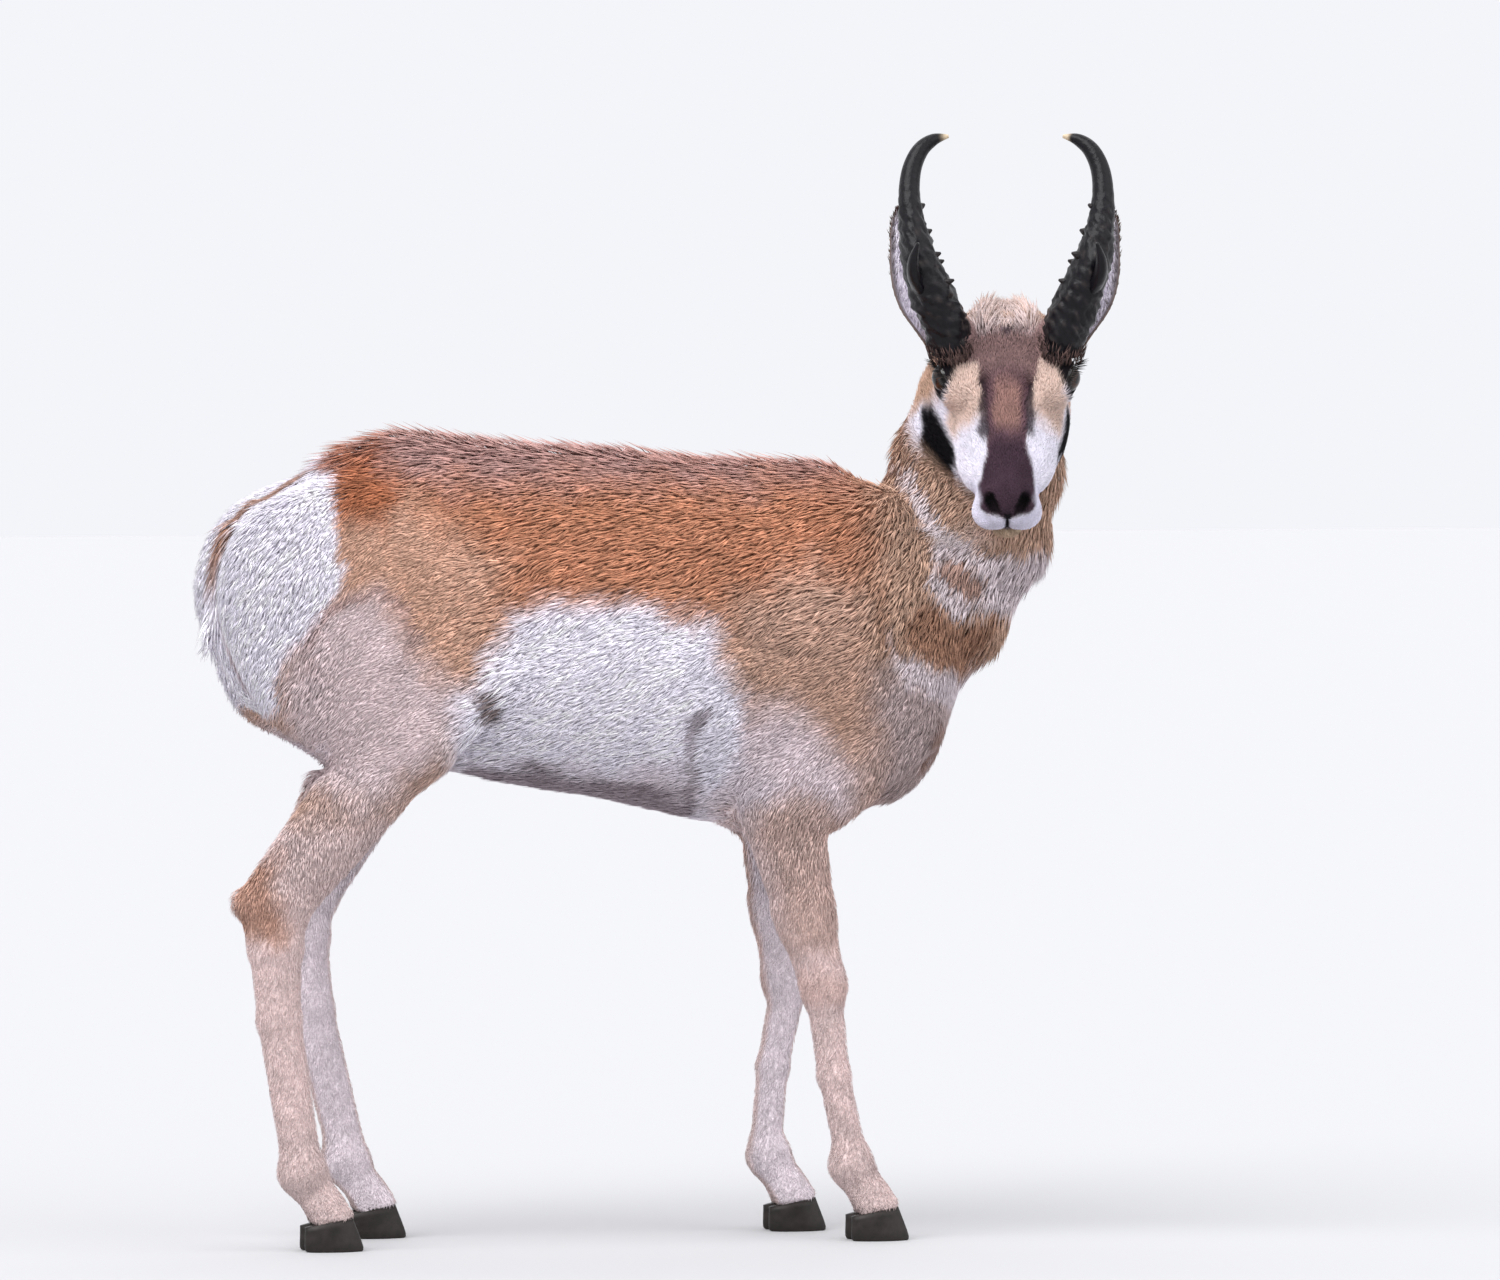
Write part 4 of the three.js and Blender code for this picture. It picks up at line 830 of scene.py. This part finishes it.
SKIN = material("skin", 0.85, bump_size=420.0, bump_depth=0.0012, specular=0.08,
                variation=0.2)
COAT = material("coat", 0.8, specular=0.1, variation=0.08)
HORN_FINISH = material("horn", 0.34, specular=0.2, bump_size=190.0, bump_depth=0.0012,
                       variation=0.3)
EYE_FINISH = material("eye", 0.1, coat=0.2, specular=0.35, variation=0.0)
HOOF_FINISH = material("hoof", 0.45, specular=0.25, bump_size=150.0, bump_depth=0.0006,
                       variation=0.2)
EAR_FINISH = material("ear", 0.8, bump_size=300.0, bump_depth=0.0006, specular=0.1)
LASH_FINISH = material("lash", 0.5, variation=0.0)


# Tufts: each a thin closed leaf from a buried root, widest near the root, to one tip
def tuft_points(root, normal, way, length, width, lift):
    across = unit(np.cross(normal, way))
    out = normal * (length * np.sin(lift))[:, None]
    along = way * (length * np.cos(lift))[:, None]
    half = across * (width / 2)[:, None]
    start = root - normal * np.minimum(1.2, length * 0.1)[:, None] - along * 0.06
    waist = root + along * 0.36 + out * 0.52
    tip = root + along + out * 0.92
    ridge = waist + normal * (width * 0.3)[:, None]
    return np.stack([start, waist - half, waist + half, ridge, tip], 1)


TUFT_FACES = np.array([[0, 3, 1], [0, 2, 3], [0, 1, 2], [1, 3, 4], [3, 2, 4], [2, 1, 4]])
# Brightness at the five points of a tuft: painted shade at the buried root and on the waist's
# sides, painted light on the ridge, lightest at the tip
TUFT_LIGHT_AND_SHADE = np.array([0.62, 0.88, 0.88, 0.98, 1.16])
PATCH = 0.0015
TUFT_UV = np.array([[0, -0.6], [-1, 0], [1, 0.1], [0, 0.3], [0, 1.2]]) * PATCH
CHART, CHART_EDGE = np.array([1 / 3, 1 / 2]), 0.01


def tuft_set(*arrays):
    """Roots, normals, ways, lengths, widths, lifts and colours of tufts, by name."""
    keys = ("roots", "normals", "ways", "lengths", "widths", "lifts", "colours")
    return dict(zip(keys, arrays))


def in_skin(way, normal):
    """The part of a way that lies in the skin."""
    return way - normal * np.sum(way * normal, axis=1)[:, None]


def unwrap(places_at, normals):
    """Six charts, one to each main direction of the skin, side by side in the unit square."""
    axis = np.argmax(np.abs(normals), axis=1)
    sign = np.take_along_axis(normals, axis[:, None], 1)[:, 0] > 0
    uv = np.zeros((len(places_at), 2))
    for k, flip in np.ndindex(3, 2):
        on = (axis == k) & (sign == flip)
        if on.any():
            flat = np.delete(places_at[on], k, axis=1)
            low, high = flat.min(0), flat.max(0)
            share = (flat - low) / np.maximum(high - low, 1e-6)
            corner = np.array([k, flip]) * CHART
            uv[on] = corner + CHART_EDGE + share * (CHART - 2 * CHART_EDGE)
    return uv


def tuft_piece(name, slot, roots, normals, ways, lengths, widths, lifts, colours, finish=COAT):
    points = tuft_points(roots, normals, ways, lengths, widths, lifts)
    count = len(roots)
    faces = (np.arange(count) * 5)[:, None, None] + TUFT_FACES[None]
    # Pale coats get only a little of the tufts' painted light and shade
    bright = step(0.35, 0.75, colours.mean(axis=1))[:, None]
    shade = colours[:, None, :] * mix(TUFT_LIGHT_AND_SHADE[None], 1.0, 0.85 * bright)[..., None]
    uv = unwrap(roots, normals)[:, None, :] + TUFT_UV[None]
    piece = build(name, points.reshape(-1, 3), faces.reshape(-1, 3), shade.reshape(-1, 3), finish,
                  uv.reshape(-1, 2))
    return piece


def lie(p, w):
    """The way the hair lies: back along the trunk, down the neck and legs, from nose to nape."""
    x, y, _ = p.T
    on_body = (1 - w["neck"]) * (1 - w["head"])
    way = over(
        np.tile(vec(-1, 0, -0.42), (len(p), 1)),
        (vec(-0.5, 0, -0.9), step(-330, -430, x)),
        (vec(-0.55, 0.06, -0.86), w["neck"]),
        (vec(-0.5, 0, -0.86), step(180, 250, x) * on_body),
        (vec(-0.16, 0, -1), w["leg"]),
        (vec(-0.1, 0, -1), w["tail"]))
    way[:, 1] += 0.25 * np.sign(y) * step(70, 20, np.abs(y)) * on_body
    return over(way, (-NOSEWARD * 0.9 - UP * 0.12, w["head"]), (UP + AHEAD * 0.1, w["crown"]))


def coat_sizes(p, w):
    """Length, width, lift and cover of the tufts at each place."""
    u, v = side_view(p, np.abs(p[:, 1]))
    rump = step(345, 325, u) * step(740, 700, v)
    haunch = step(520, 430, u) * step(470, 520, v)
    flank = step(590, 640, v) * step(500, 540, u) * step(800, 760, u)
    chest = step(720, 780, u) * step(600, 680, v) * (1 - w["neck"])
    crown_length = 13 + 19 * step(8, 30, np.abs(head_frame(p)[1]))
    length = over(
        27.0, (40, w["back"]), (26, w["neck"]), (15, haunch), (19, flank), (16, chest),
        (21, rump), (17, w["leg"]), (9, w["low_leg"]), (5.5, w["foot"]), (14, w["head"]),
        (8, w["face"]), (3.2, w["muzzle"]), (crown_length, w["crown"]), (34, w["tail"]))
    lift = over(0.27, (0.42, w["back"]), (0.22, haunch), (0.26, rump), (0.3, w["neck"]),
                (0.24, w["leg"]), (0.3, w["head"]), (0.5, w["crown"]))
    width = np.clip(length * 0.1, 0.9, 3.2)
    cover = mix(5.0, 1.4, step(22, 8, length))
    return length, width, lift, cover


def scatter(points, quads, wanted, keep):
    """Roots spread over a skin, closer together where the tufts are small."""
    tris = triangles(quads)
    a, b, c = (points[tris[:, k]] for k in range(3))
    centre = (a + b + c) / 3
    area = np.linalg.norm(np.cross(b - a, c - a), axis=1) / 2
    length, width, _, cover = coat_sizes(centre, places(centre))
    weight = area * cover / (0.5 * length * width) * keep(centre)
    total = np.cumsum(weight)
    pick = np.searchsorted(total, (np.arange(wanted) + rng.random(wanted)) * total[-1] / wanted)
    pick = np.minimum(pick, len(tris) - 1)
    s, t = rng.random(wanted), rng.random(wanted)
    over = s + t > 1
    s[over], t[over] = 1 - s[over], 1 - t[over]
    weights = np.stack([1 - s - t, s, t], 1)
    normals = point_normals(points, tris)
    corners = tris[pick]
    root = np.einsum("nk,nkx->nx", weights, points[corners])
    normal = unit(np.einsum("nk,nkx->nx", weights, normals[corners]))
    return root, normal


def grow(points, quads, wanted, keep):
    """Everything that the tufts of one skin need, in one dict of arrays."""
    root, normal = scatter(points, quads, wanted, keep)
    w = places(root)
    length, width, lift, _ = coat_sizes(root, w)
    way = lie(root, w) + 0.16 * rng.normal(size=root.shape)
    side_way = np.cross(normal, way)
    way = way + side_way * (0.16 * ripple(root, 38, 6) + 0.1 * ripple(root, 15))[:, None]
    way = in_skin(way, normal)
    loose = np.linalg.norm(way, axis=1) < 0.15
    way[loose] = np.cross(normal[loose], vec(0.2, 1, 0.1))
    way = unit(way)
    length = length * rng.uniform(0.72, 1.22, wanted)
    width = width * rng.uniform(0.75, 1.25, wanted)
    lift = lift * rng.uniform(0.65, 1.3, wanted)
    colour = coat_colour(root, normal)
    streak = 1 + 0.16 * rng.normal(size=wanted) * np.where(length > 12, 1, 0.6)
    streak += 0.1 * ripple(root, 16, 3)
    bright = colour.mean(axis=1) > 0.6
    streak = np.where(bright, 1 + (streak - 1) * 0.45, streak)
    colour = colour * np.clip(streak, 0.55, 1.45)[:, None]
    return tuft_set(root, normal, way, length, width, lift, colour)


def coat_pieces(name, slot, tufts, chosen, order):
    index = np.flatnonzero(chosen)
    index = index[np.argsort(order[index], kind="stable")]
    parts = max(1, math.ceil(len(index) / TUFTS_PER_PIECE))
    for i, part in enumerate(np.array_split(index, parts)):
        label = name if parts == 1 else f"{name}_{i + 1}"
        tuft_piece(label, slot, **{key: value[part] for key, value in tufts.items()})


# Skins and coats. The skin is painted a little darker than the hair over it: painted shade deep in
# the coat, which shows between the tufts
COAT_DEPTH_SHADE = 0.84
body_points, body_quads = surface(body_skin, (-575, -230, 20), (520, 230, 1075), BODY_CELL)
head_points, head_quads = surface(head_skin, (262, -262, 776), (512, 40, 1092), HEAD_CELL)
body_normals = point_normals(body_points, triangles(body_quads))
head_normals = point_normals(head_points, triangles(head_quads))
body_colours = coat_colour(body_points, body_normals)
body_colours *= mix(COAT_DEPTH_SHADE, 1.0, step(0.35, 0.7, body_colours.mean(axis=1)))[:, None]
body = build("skin_body", body_points, body_quads, body_colours, SKIN)
# The head's skin gets painted shade too, a little darker than the hair over it
head = build("skin_head", head_points, head_quads,
             coat_colour(head_points, head_normals) * 0.95, SKIN)
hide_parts("torso", "tail", "neck", "leg_hind_right", "leg_hind_left", "leg_fore_right",
            "leg_fore_left")
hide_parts("head")

body_tufts = grow(body_points, body_quads, BODY_TUFTS,
                  lambda p: (head_side(p) < 1) & (above_hooves(p) < -1))


def clear_of_eyes(p):
    free = head_side(p) > -1
    for q in around_eyes(p):
        free &= ~((q[:, 1] > 2) & (np.linalg.norm(q, axis=1) < SOCKET))
    return free


head_tufts = grow(head_points, head_quads, HEAD_TUFTS, clear_of_eyes)

roots = body_tufts["roots"]
is_leg = roots[:, 2] < 470
is_neck = (past_shoulder(roots) > 0) & ~is_leg
is_tail = (roots[:, 0] < -492) & (np.abs(roots[:, 1]) < 40) & ~is_leg
is_torso = ~is_leg & ~is_neck & ~is_tail
coat_pieces("coat_legs", "legs", body_tufts, is_leg, roots[:, 0])
coat_pieces("coat_neck", "neck", body_tufts, is_neck, roots[:, 2])
coat_pieces("coat_tail", "tail", body_tufts, is_tail, roots[:, 2])
coat_pieces("coat_torso", "torso", body_tufts, is_torso, roots[:, 0])
coat_pieces("coat_head", "head", head_tufts, np.ones(HEAD_TUFTS, bool),
            (head_tufts["roots"] - EYE_MIDDLE) @ ACROSS)


# Horns, ears, eyes, lashes and hooves. Rows give the distance out, up and forward of the
# middle between the eyes, then half the width, and for the horns half the depth
HORN = [
    (62, 34, 8, 23, 27), (68, 60, 17, 25, 30), (82, 92, 21, 25, 31), (98, 134, 22, 21, 30),
    (107, 176, 16, 15.5, 18), (110, 209, 6, 12.5, 13.5), (107, 238, -5, 11, 11.5),
    (97, 260, -14, 9.5, 10), (82, 272, -20, 7, 7.5), (65, 276, -23, 2, 2)]
PRONG = [
    (96, 100, 22, 9, 20), (105, 118, 54, 8, 14), (106, 136, 70, 6, 9), (101, 155, 79, 1.8, 2.2)]
EAR = [
    (66, 34, -40, 15), (79, 58, -46, 18), (94, 92, -52, 24), (103, 126, -57, 26),
    (110, 156, -60, 23), (116, 180, -61, 15), (120, 196, -60, 3)]
HORN_ROWS, HORN_SIDES = 90, 36
PRONG_ROWS, PRONG_SIDES = 26, 24
BURR_RINGS, BURR_ROWS, BURR_SIDES = (24, 29, 31, 37, 45), 7, 10
EAR_ROWS, EAR_ARC, EAR_WALL, EAR_DEPTH = 34, 22, 2.6, 0.45
EAR_TUFTS, FRINGE_TUFTS, LASHES = 3600, 420, 46
EYE_DARK, IRIS, PUPIL = rgb(24, 16, 13), rgb(58, 34, 22), rgb(6, 5, 6)


def smooth_rows(table, count):
    table = np.array(table, float)
    place = np.linspace(0, len(table) - 1, count)
    i = np.minimum(place.astype(int), len(table) - 2)
    t = (place - i)[:, None]
    a, b = table[np.maximum(i - 1, 0)], table[i]
    c, d = table[i + 1], table[np.minimum(i + 2, len(table) - 1)]
    return 0.5 * (2 * b + (c - a) * t + (2 * a - 5 * b + 4 * c - d) * t ** 2
                  + (3 * b - a - 3 * c + d) * t ** 3)


def loft(rings):
    """Points and triangles of a closed skin over rings of equal count."""
    count, sides = rings.shape[:2]
    points = np.concatenate([rings.reshape(-1, 3), rings[0].mean(0)[None], rings[-1].mean(0)[None]])
    faces = []
    j = np.arange(sides)
    after = (j + 1) % sides
    for i in range(count - 1):
        row = i * sides
        faces.append(np.stack([row + j, row + after, row + sides + after], 1))
        faces.append(np.stack([row + j, row + sides + after, row + sides + j], 1))
    top = (count - 1) * sides
    faces.append(np.stack([np.full(sides, count * sides), after, j], 1))
    faces.append(np.stack([np.full(sides, count * sides + 1), top + j, top + after], 1))
    faces = np.concatenate(faces)
    a, b, c = (points[faces[:, k]] for k in range(3))
    if np.einsum("nx,nx->n", a, np.cross(b, c)).sum() < 0:
        faces = faces[:, ::-1]
    return points, faces


def sweep_rings(side, rows, sides, rough=0.0):
    centres = np.array([on_face(side, *row[:3]) for row in rows])
    axis = unit(np.gradient(centres, axis=0))
    fore = unit(AHEAD - axis * (axis @ AHEAD)[:, None])
    wide = np.cross(axis, fore)
    angle = np.linspace(0, 2 * np.pi, sides, endpoint=False)
    w = rows[:, 3][:, None] * (1 + rough) * np.cos(angle)
    d = rows[:, 4][:, None] * (1 + rough) * np.sin(angle)
    return centres[:, None] + wide[:, None] * w[..., None] + fore[:, None] * d[..., None]


def joined(parts):
    """Points, faces and colours of several parts as one."""
    points, faces, colours = zip(*parts)
    starts = np.cumsum([0] + [len(part) for part in points[:-1]])
    faces = [part + start for part, start in zip(faces, starts)]
    return np.concatenate(points), np.concatenate(faces), np.concatenate(colours)


def horn(side):
    rows = smooth_rows(HORN, HORN_ROWS)
    sides = HORN_SIDES
    share = np.linspace(0, 1, len(rows))[:, None]
    rings = sweep_rings(side, rows, sides)
    flat = rings.reshape(-1, 3)
    bumps = (0.07 * ripple(flat, 30, 4) + 0.07 * ripple(flat, 13, 10) + 0.045 * ripple(flat, 7, 16))
    ridges = 0.02 * np.sin(share * 150 + 2.5 * ripple(flat, 60).reshape(len(rows), sides))
    lower = step(0.02, 0.08, share) * step(0.62, 0.42, share)
    rough = (bumps.reshape(len(rows), sides) + ridges) * lower
    rings = sweep_rings(side, rows, sides, rough)
    points, faces = loft(rings)
    along = np.append(np.repeat(share[:, 0], sides), [0, 1])
    worn = step(0.4, 1.2, ripple(points, 14, 9)) * step(0.6, 0.3, along) * 0.5
    colour = over(np.tile(HORN_DARK, (len(points), 1)), (HORN_GREY, worn),
                  (HORN_TIP, step(0.92, 0.99, along + 0.01 * ripple(points, 20))))
    parts = [(points, faces, colour)]
    prong_rows = smooth_rows(PRONG, PRONG_ROWS)
    points, faces = loft(sweep_rings(side, prong_rows, PRONG_SIDES))
    parts.append((points, faces, np.tile(HORN_DARK, (len(points), 1))))
    for ring in BURR_RINGS:
        out, up, forward, width, depth = rows[ring]
        turn = rng.uniform(-0.7, 0.7)
        size = rng.uniform(0.7, 1.25)
        root = (out - width * 0.6, up, forward + depth * 0.6 * turn, 5.5 * size, 6 * size)
        middle = (out - width * 1.0, up + 2, forward + depth * 0.8 * turn, 4 * size, 4.6 * size)
        end = (out - width * (1.06 + 0.2 * size), up + 4, forward + depth * 0.9 * turn, 1.2, 1.3)
        burr_rows = smooth_rows([root, middle, end], BURR_ROWS)
        points, faces = loft(sweep_rings(side, burr_rows, BURR_SIDES))
        parts.append((points, faces, np.tile(mix(HORN_DARK, HORN_GREY, 0.25), (len(points), 1))))
    piece = build("horn_sheath_" + NAMES[side], *joined(parts), HORN_FINISH)
    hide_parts("horn_" + NAMES[side])


def ear(side):
    rows = smooth_rows(EAR, EAR_ROWS)
    rows[:, 3] = np.maximum(rows[:, 3], 2.2)
    centres = np.array([on_face(side, *row[:3]) for row in rows])
    axis = unit(np.gradient(centres, axis=0))
    opens = unit(AHEAD * 0.86 + ACROSS * side * 0.5)
    opening = unit(opens - axis * (axis @ opens)[:, None])
    wide = np.cross(axis, opening)
    share = np.linspace(0, 1, len(rows))
    half = mix(2.5, 1.25, np.minimum(1, share * 1.5))
    chord = rows[:, 3] / np.sin(np.minimum(half, np.pi / 2))
    arc = EAR_ARC
    turn = half[:, None] * np.linspace(-1, 1, arc)[None]
    layers = []
    for inset in (0.0, EAR_WALL):
        radius = np.maximum(chord - inset, chord * 0.35)[:, None]
        sideways = wide[:, None] * (radius * np.sin(turn))[..., None]
        back = opening[:, None] * (chord[:, None] * EAR_DEPTH - radius * np.cos(turn))[..., None]
        layers.append(centres[:, None] + sideways + back)
    rings = np.concatenate([layers[0], layers[1][:, ::-1]], axis=1)
    points, faces = loft(rings)
    edge = np.abs(np.concatenate([np.linspace(-1, 1, arc), np.linspace(1, -1, arc)]))
    inner = np.concatenate([np.zeros(arc), np.ones(arc)])
    rim = np.append(np.tile(edge, len(rows)), [0, 0])
    within = np.append(np.tile(inner, len(rows)), [0, 0])
    along = np.append(np.repeat(share, 2 * arc), [0, 1])

    def shades(within_at, rim_at, along_at):
        c = blend(np.tile(EAR_BACK, (len(rim_at), 1)), EAR_HAIR, within_at)
        c = blend(c, EAR_EDGE, step(0.8, 0.97, rim_at) * 0.85)
        return blend(c, EAR_EDGE, step(0.8, 0.97, along_at)) * TINT
    piece = build("ear_leaf_" + NAMES[side], points, faces, shades(within, rim, along), EAR_FINISH)
    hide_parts("ear_" + NAMES[side])

    count = EAR_TUFTS
    inside = rng.random(count) < 0.42
    s = rng.random(count) ** 0.8
    t = rng.uniform(-1, 1, count)
    at = s * (len(rows) - 2)
    i = at.astype(int)
    f = (at - i)[:, None]
    j = np.clip(((t + 1) / 2 * (arc - 1)), 0, arc - 2).astype(int)
    g = ((t + 1) / 2 * (arc - 1) - j)[:, None]

    def on_layer(layer):
        low = mix(layer[i, j], layer[i, j + 1], g)
        high = mix(layer[i + 1, j], layer[i + 1, j + 1], g)
        return mix(low, high, f)
    spots = np.where(inside[:, None], on_layer(layers[1]), on_layer(layers[0]))
    middle = centres[i] + opening[i] * (chord[i] * EAR_DEPTH)[:, None]
    normals = unit(spots - middle)
    normals[inside] *= -1
    way = axis[i] + 0.2 * rng.normal(size=(count, 3))
    curl = wide[i] * np.sign(-t)[:, None] * 0.55
    way[inside] += curl[inside]
    way = unit(in_skin(way, normals))
    rim_at = np.abs(t)
    length = np.where(inside, rng.uniform(9, 17, count), rng.uniform(5, 9, count))
    length = length * mix(1.0, 0.55, step(0.75, 1, s))
    width = np.where(inside, 1.4, 1.3)
    lift = np.where(inside, rng.uniform(0.2, 0.55, count), rng.uniform(0.12, 0.25, count))
    colour = shades(inside.astype(float), rim_at, s) * rng.uniform(0.85, 1.15, count)[:, None]
    colour[inside] *= 1.1
    return tuft_set(spots, normals, way, length, width, lift, colour)


def horn_fringe(side):
    """Short dark hair of the brow that runs up over the foot of a horn."""
    rings = sweep_rings(side, smooth_rows(HORN, HORN_ROWS), HORN_SIDES)
    count = FRINGE_TUFTS
    i, j = rng.integers(0, 7, count), rng.integers(0, HORN_SIDES, count)
    centres = rings[i].mean(axis=1)
    normal = unit(rings[i, j] - centres)
    axis = unit(rings[i + 4].mean(axis=1) - centres)
    roots_at = rings[i, j] + normal * 1.5 - axis * 11
    spread = 0.18 * rng.normal(size=(count, 3))
    ways = unit(axis + in_skin(spread, normal))
    shade = rng.uniform(0, 1, count)
    colours = blend(np.tile(BLACK, (count, 1)), FOREHEAD * 0.5, shade)
    return tuft_set(roots_at, normal, ways, rng.uniform(9, 19, count), np.full(count, 1.7),
                    rng.uniform(0.1, 0.3, count), colours)


def eye(side):
    seat, axes = eye_frame(side)
    rows, sides = 40, 48
    down = np.linspace(0.001, np.pi - 0.001, rows)
    round_ = np.linspace(0, 2 * np.pi, sides, endpoint=False)
    along = np.sin(down)[:, None] * np.cos(round_)
    across = np.sin(down)[:, None] * np.sin(round_)
    front = np.repeat(np.cos(down)[:, None], sides, axis=1)
    bulge = EYE_RADIUS + 0.5 * step(0.72, 1.0, front)
    local = np.stack([along, front, across], -1)
    rings = seat + (local @ axes) * bulge[..., None]
    points, faces = loft(rings)
    q = np.concatenate([local.reshape(-1, 3), [[0, 1, 0], [0, -1, 0]]])
    iris = np.sqrt(q[:, 0] ** 2 + q[:, 2] ** 2)
    pupil = np.sqrt((q[:, 0] / 0.36) ** 2 + (q[:, 2] / 0.2) ** 2)
    colour = over(np.tile(EYE_DARK, (len(q), 1)), (IRIS, step(0.62, 0.5, iris)),
                  (PUPIL, step(1.1, 0.9, pupil)))
    piece = build("eyeball_" + NAMES[side], points, faces, colour, EYE_FINISH)
    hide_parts("eye_" + NAMES[side])


def lashes(side):
    seat, axes = eye_frame(side)
    brow = axes[2] * side
    count = LASHES
    s = np.linspace(-1, 1, count) + rng.normal(size=count) * 0.03
    ways = unit(axes[1] * 0.72 + brow * 0.62 + axes[0] * (s * 0.72)[:, None])
    roots_at = seat + ways * 21.2
    leave = unit(axes[1] * 0.95 + brow * 0.18 + axes[0] * (s * 0.55)[:, None] - UP * 0.12)
    normal = unit(np.cross(np.cross(leave, brow[None]), leave))
    return tuft_set(roots_at, normal, leave, rng.uniform(13, 20, count), np.full(count, 1.3),
                    np.full(count, 0.12), np.tile(BLACK * 0.7, (count, 1)))


def gathered(sets):
    return {key: np.concatenate([tufts[key] for tufts in sets]) for key in sets[0]}


for which in (RIGHT, LEFT):
    horn(which)
    eye(which)
tuft_piece("coat_ears", "ear", **gathered([ear(RIGHT), ear(LEFT)]))
tuft_piece("lashes", "head", **gathered([lashes(RIGHT), lashes(LEFT)]), finish=LASH_FINISH)
tuft_piece("horn_fringe", "head", **gathered([horn_fringe(RIGHT), horn_fringe(LEFT)]))


def hoof(toe_x, toe_y, way):
    levels = np.array([[0, 0.94, 0.94], [0.04, 1, 1], [0.12, 1.02, 1.02], [0.3, 0.99, 1.0],
                       [0.55, 0.93, 0.95], [0.8, 0.87, 0.91], [1, 0.83, 0.88]])
    angle = np.linspace(0, 2 * np.pi, 40, endpoint=False)
    forward = np.cos(angle)
    centre_x, centre_y = toe_x - 2, toe_y + way * HOOF_SPREAD
    rings = []
    for share, length, width in levels:
        x = centre_x + HOOF_LENGTH / 2 * length * forward - share * 7
        point = np.where(forward > 0, 1 - 0.34 * forward ** 2, 1)
        y = centre_y + HOOF_WIDTH / 2 * width * np.sin(angle) * point
        z = share * (coronet(toe_x, x) + 1.5)
        rings.append(np.stack([x, y, z], 1))
    return loft(np.array(rings))


for label, legs in (("hind", HIND), ("fore", FORE)):
    for which, leg in legs.items():
        for end, way in (("inner", -which), ("outer", which)):
            points, faces = hoof(leg[4][0], which * leg[4][1], way)
            shade = 1 + 0.25 * np.sin(points[:, 2] * 1.3 + ripple(points, 20))
            node = f"hoof_leg_{label}_{NAMES[which]}_{end}"
            piece = build(node.replace("hoof_leg", "hoof"), points, faces,
                          HOOF_DARK * shade[:, None], HOOF_FINISH)
            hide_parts(node)


# Floor, light and camera
FLOOR_SIZE = 60


def plain(name, colour, roughness):
    made = bpy.data.materials.new(name)
    made.use_nodes = True
    shader = made.node_tree.nodes["Principled BSDF"]
    shader.inputs["Base Color"].default_value = (*colour, 1)
    shader.inputs["Roughness"].default_value = roughness
    return made


bpy.ops.mesh.primitive_plane_add(size=FLOOR_SIZE, location=(0, 0, 0))
floor = bpy.context.object
floor.name = "floor"
floor.data.materials.append(plain("floor", (0.47, 0.47, 0.48), 0.9))

world = bpy.data.worlds.new("studio")
world.use_nodes = True
world.node_tree.nodes["Background"].inputs["Color"].default_value = (0.95, 0.96, 1.0, 1)
world.node_tree.nodes["Background"].inputs["Strength"].default_value = 0.95
bpy.context.scene.world = world


def soft_sun(name, turn, rise, strength, spread):
    """A very soft sun that shines from a compass turn and a height in degrees."""
    light = bpy.data.lights.new(name, "SUN")
    light.energy = strength
    light.angle = math.radians(spread)
    made = bpy.data.objects.new(name, light)
    made.rotation_euler = (math.radians(90 - rise), 0, math.radians(turn))
    bpy.context.scene.collection.objects.link(made)


soft_sun("key", -52, 52, 2.75, 50)
soft_sun("fill", 50, 35, 0.8, 60)
soft_sun("rim", 170, 50, 0.6, 60)

VIEW_TURN = math.radians(13)
VIEW_RISE = math.radians(2)
FRAME_WIDTH = 1.71
AWAY = 14.0
SENSOR = 36
MIDDLE_RIGHT, MIDDLE_UP = 0.1015, 0.6817
right_way = vec(math.cos(VIEW_TURN), -math.sin(VIEW_TURN), 0)
back_way = vec(-math.sin(VIEW_TURN) * math.cos(VIEW_RISE),
               -math.cos(VIEW_TURN) * math.cos(VIEW_RISE), math.sin(VIEW_RISE))
up_way = np.cross(back_way, right_way)
target = right_way * MIDDLE_RIGHT + up_way * MIDDLE_UP + SHIFT * MM
camera_data = bpy.data.cameras.new("camera")
camera_data.sensor_width = SENSOR
camera_data.lens = SENSOR * AWAY / FRAME_WIDTH
camera_data.clip_end = 200
camera = bpy.data.objects.new("camera", camera_data)
camera.location = target + back_way * AWAY
camera.rotation_euler = (math.radians(90) - VIEW_RISE, 0, -VIEW_TURN)
bpy.context.scene.collection.objects.link(camera)
bpy.context.scene.camera = camera
bpy.context.scene.view_settings.view_transform = "Standard"
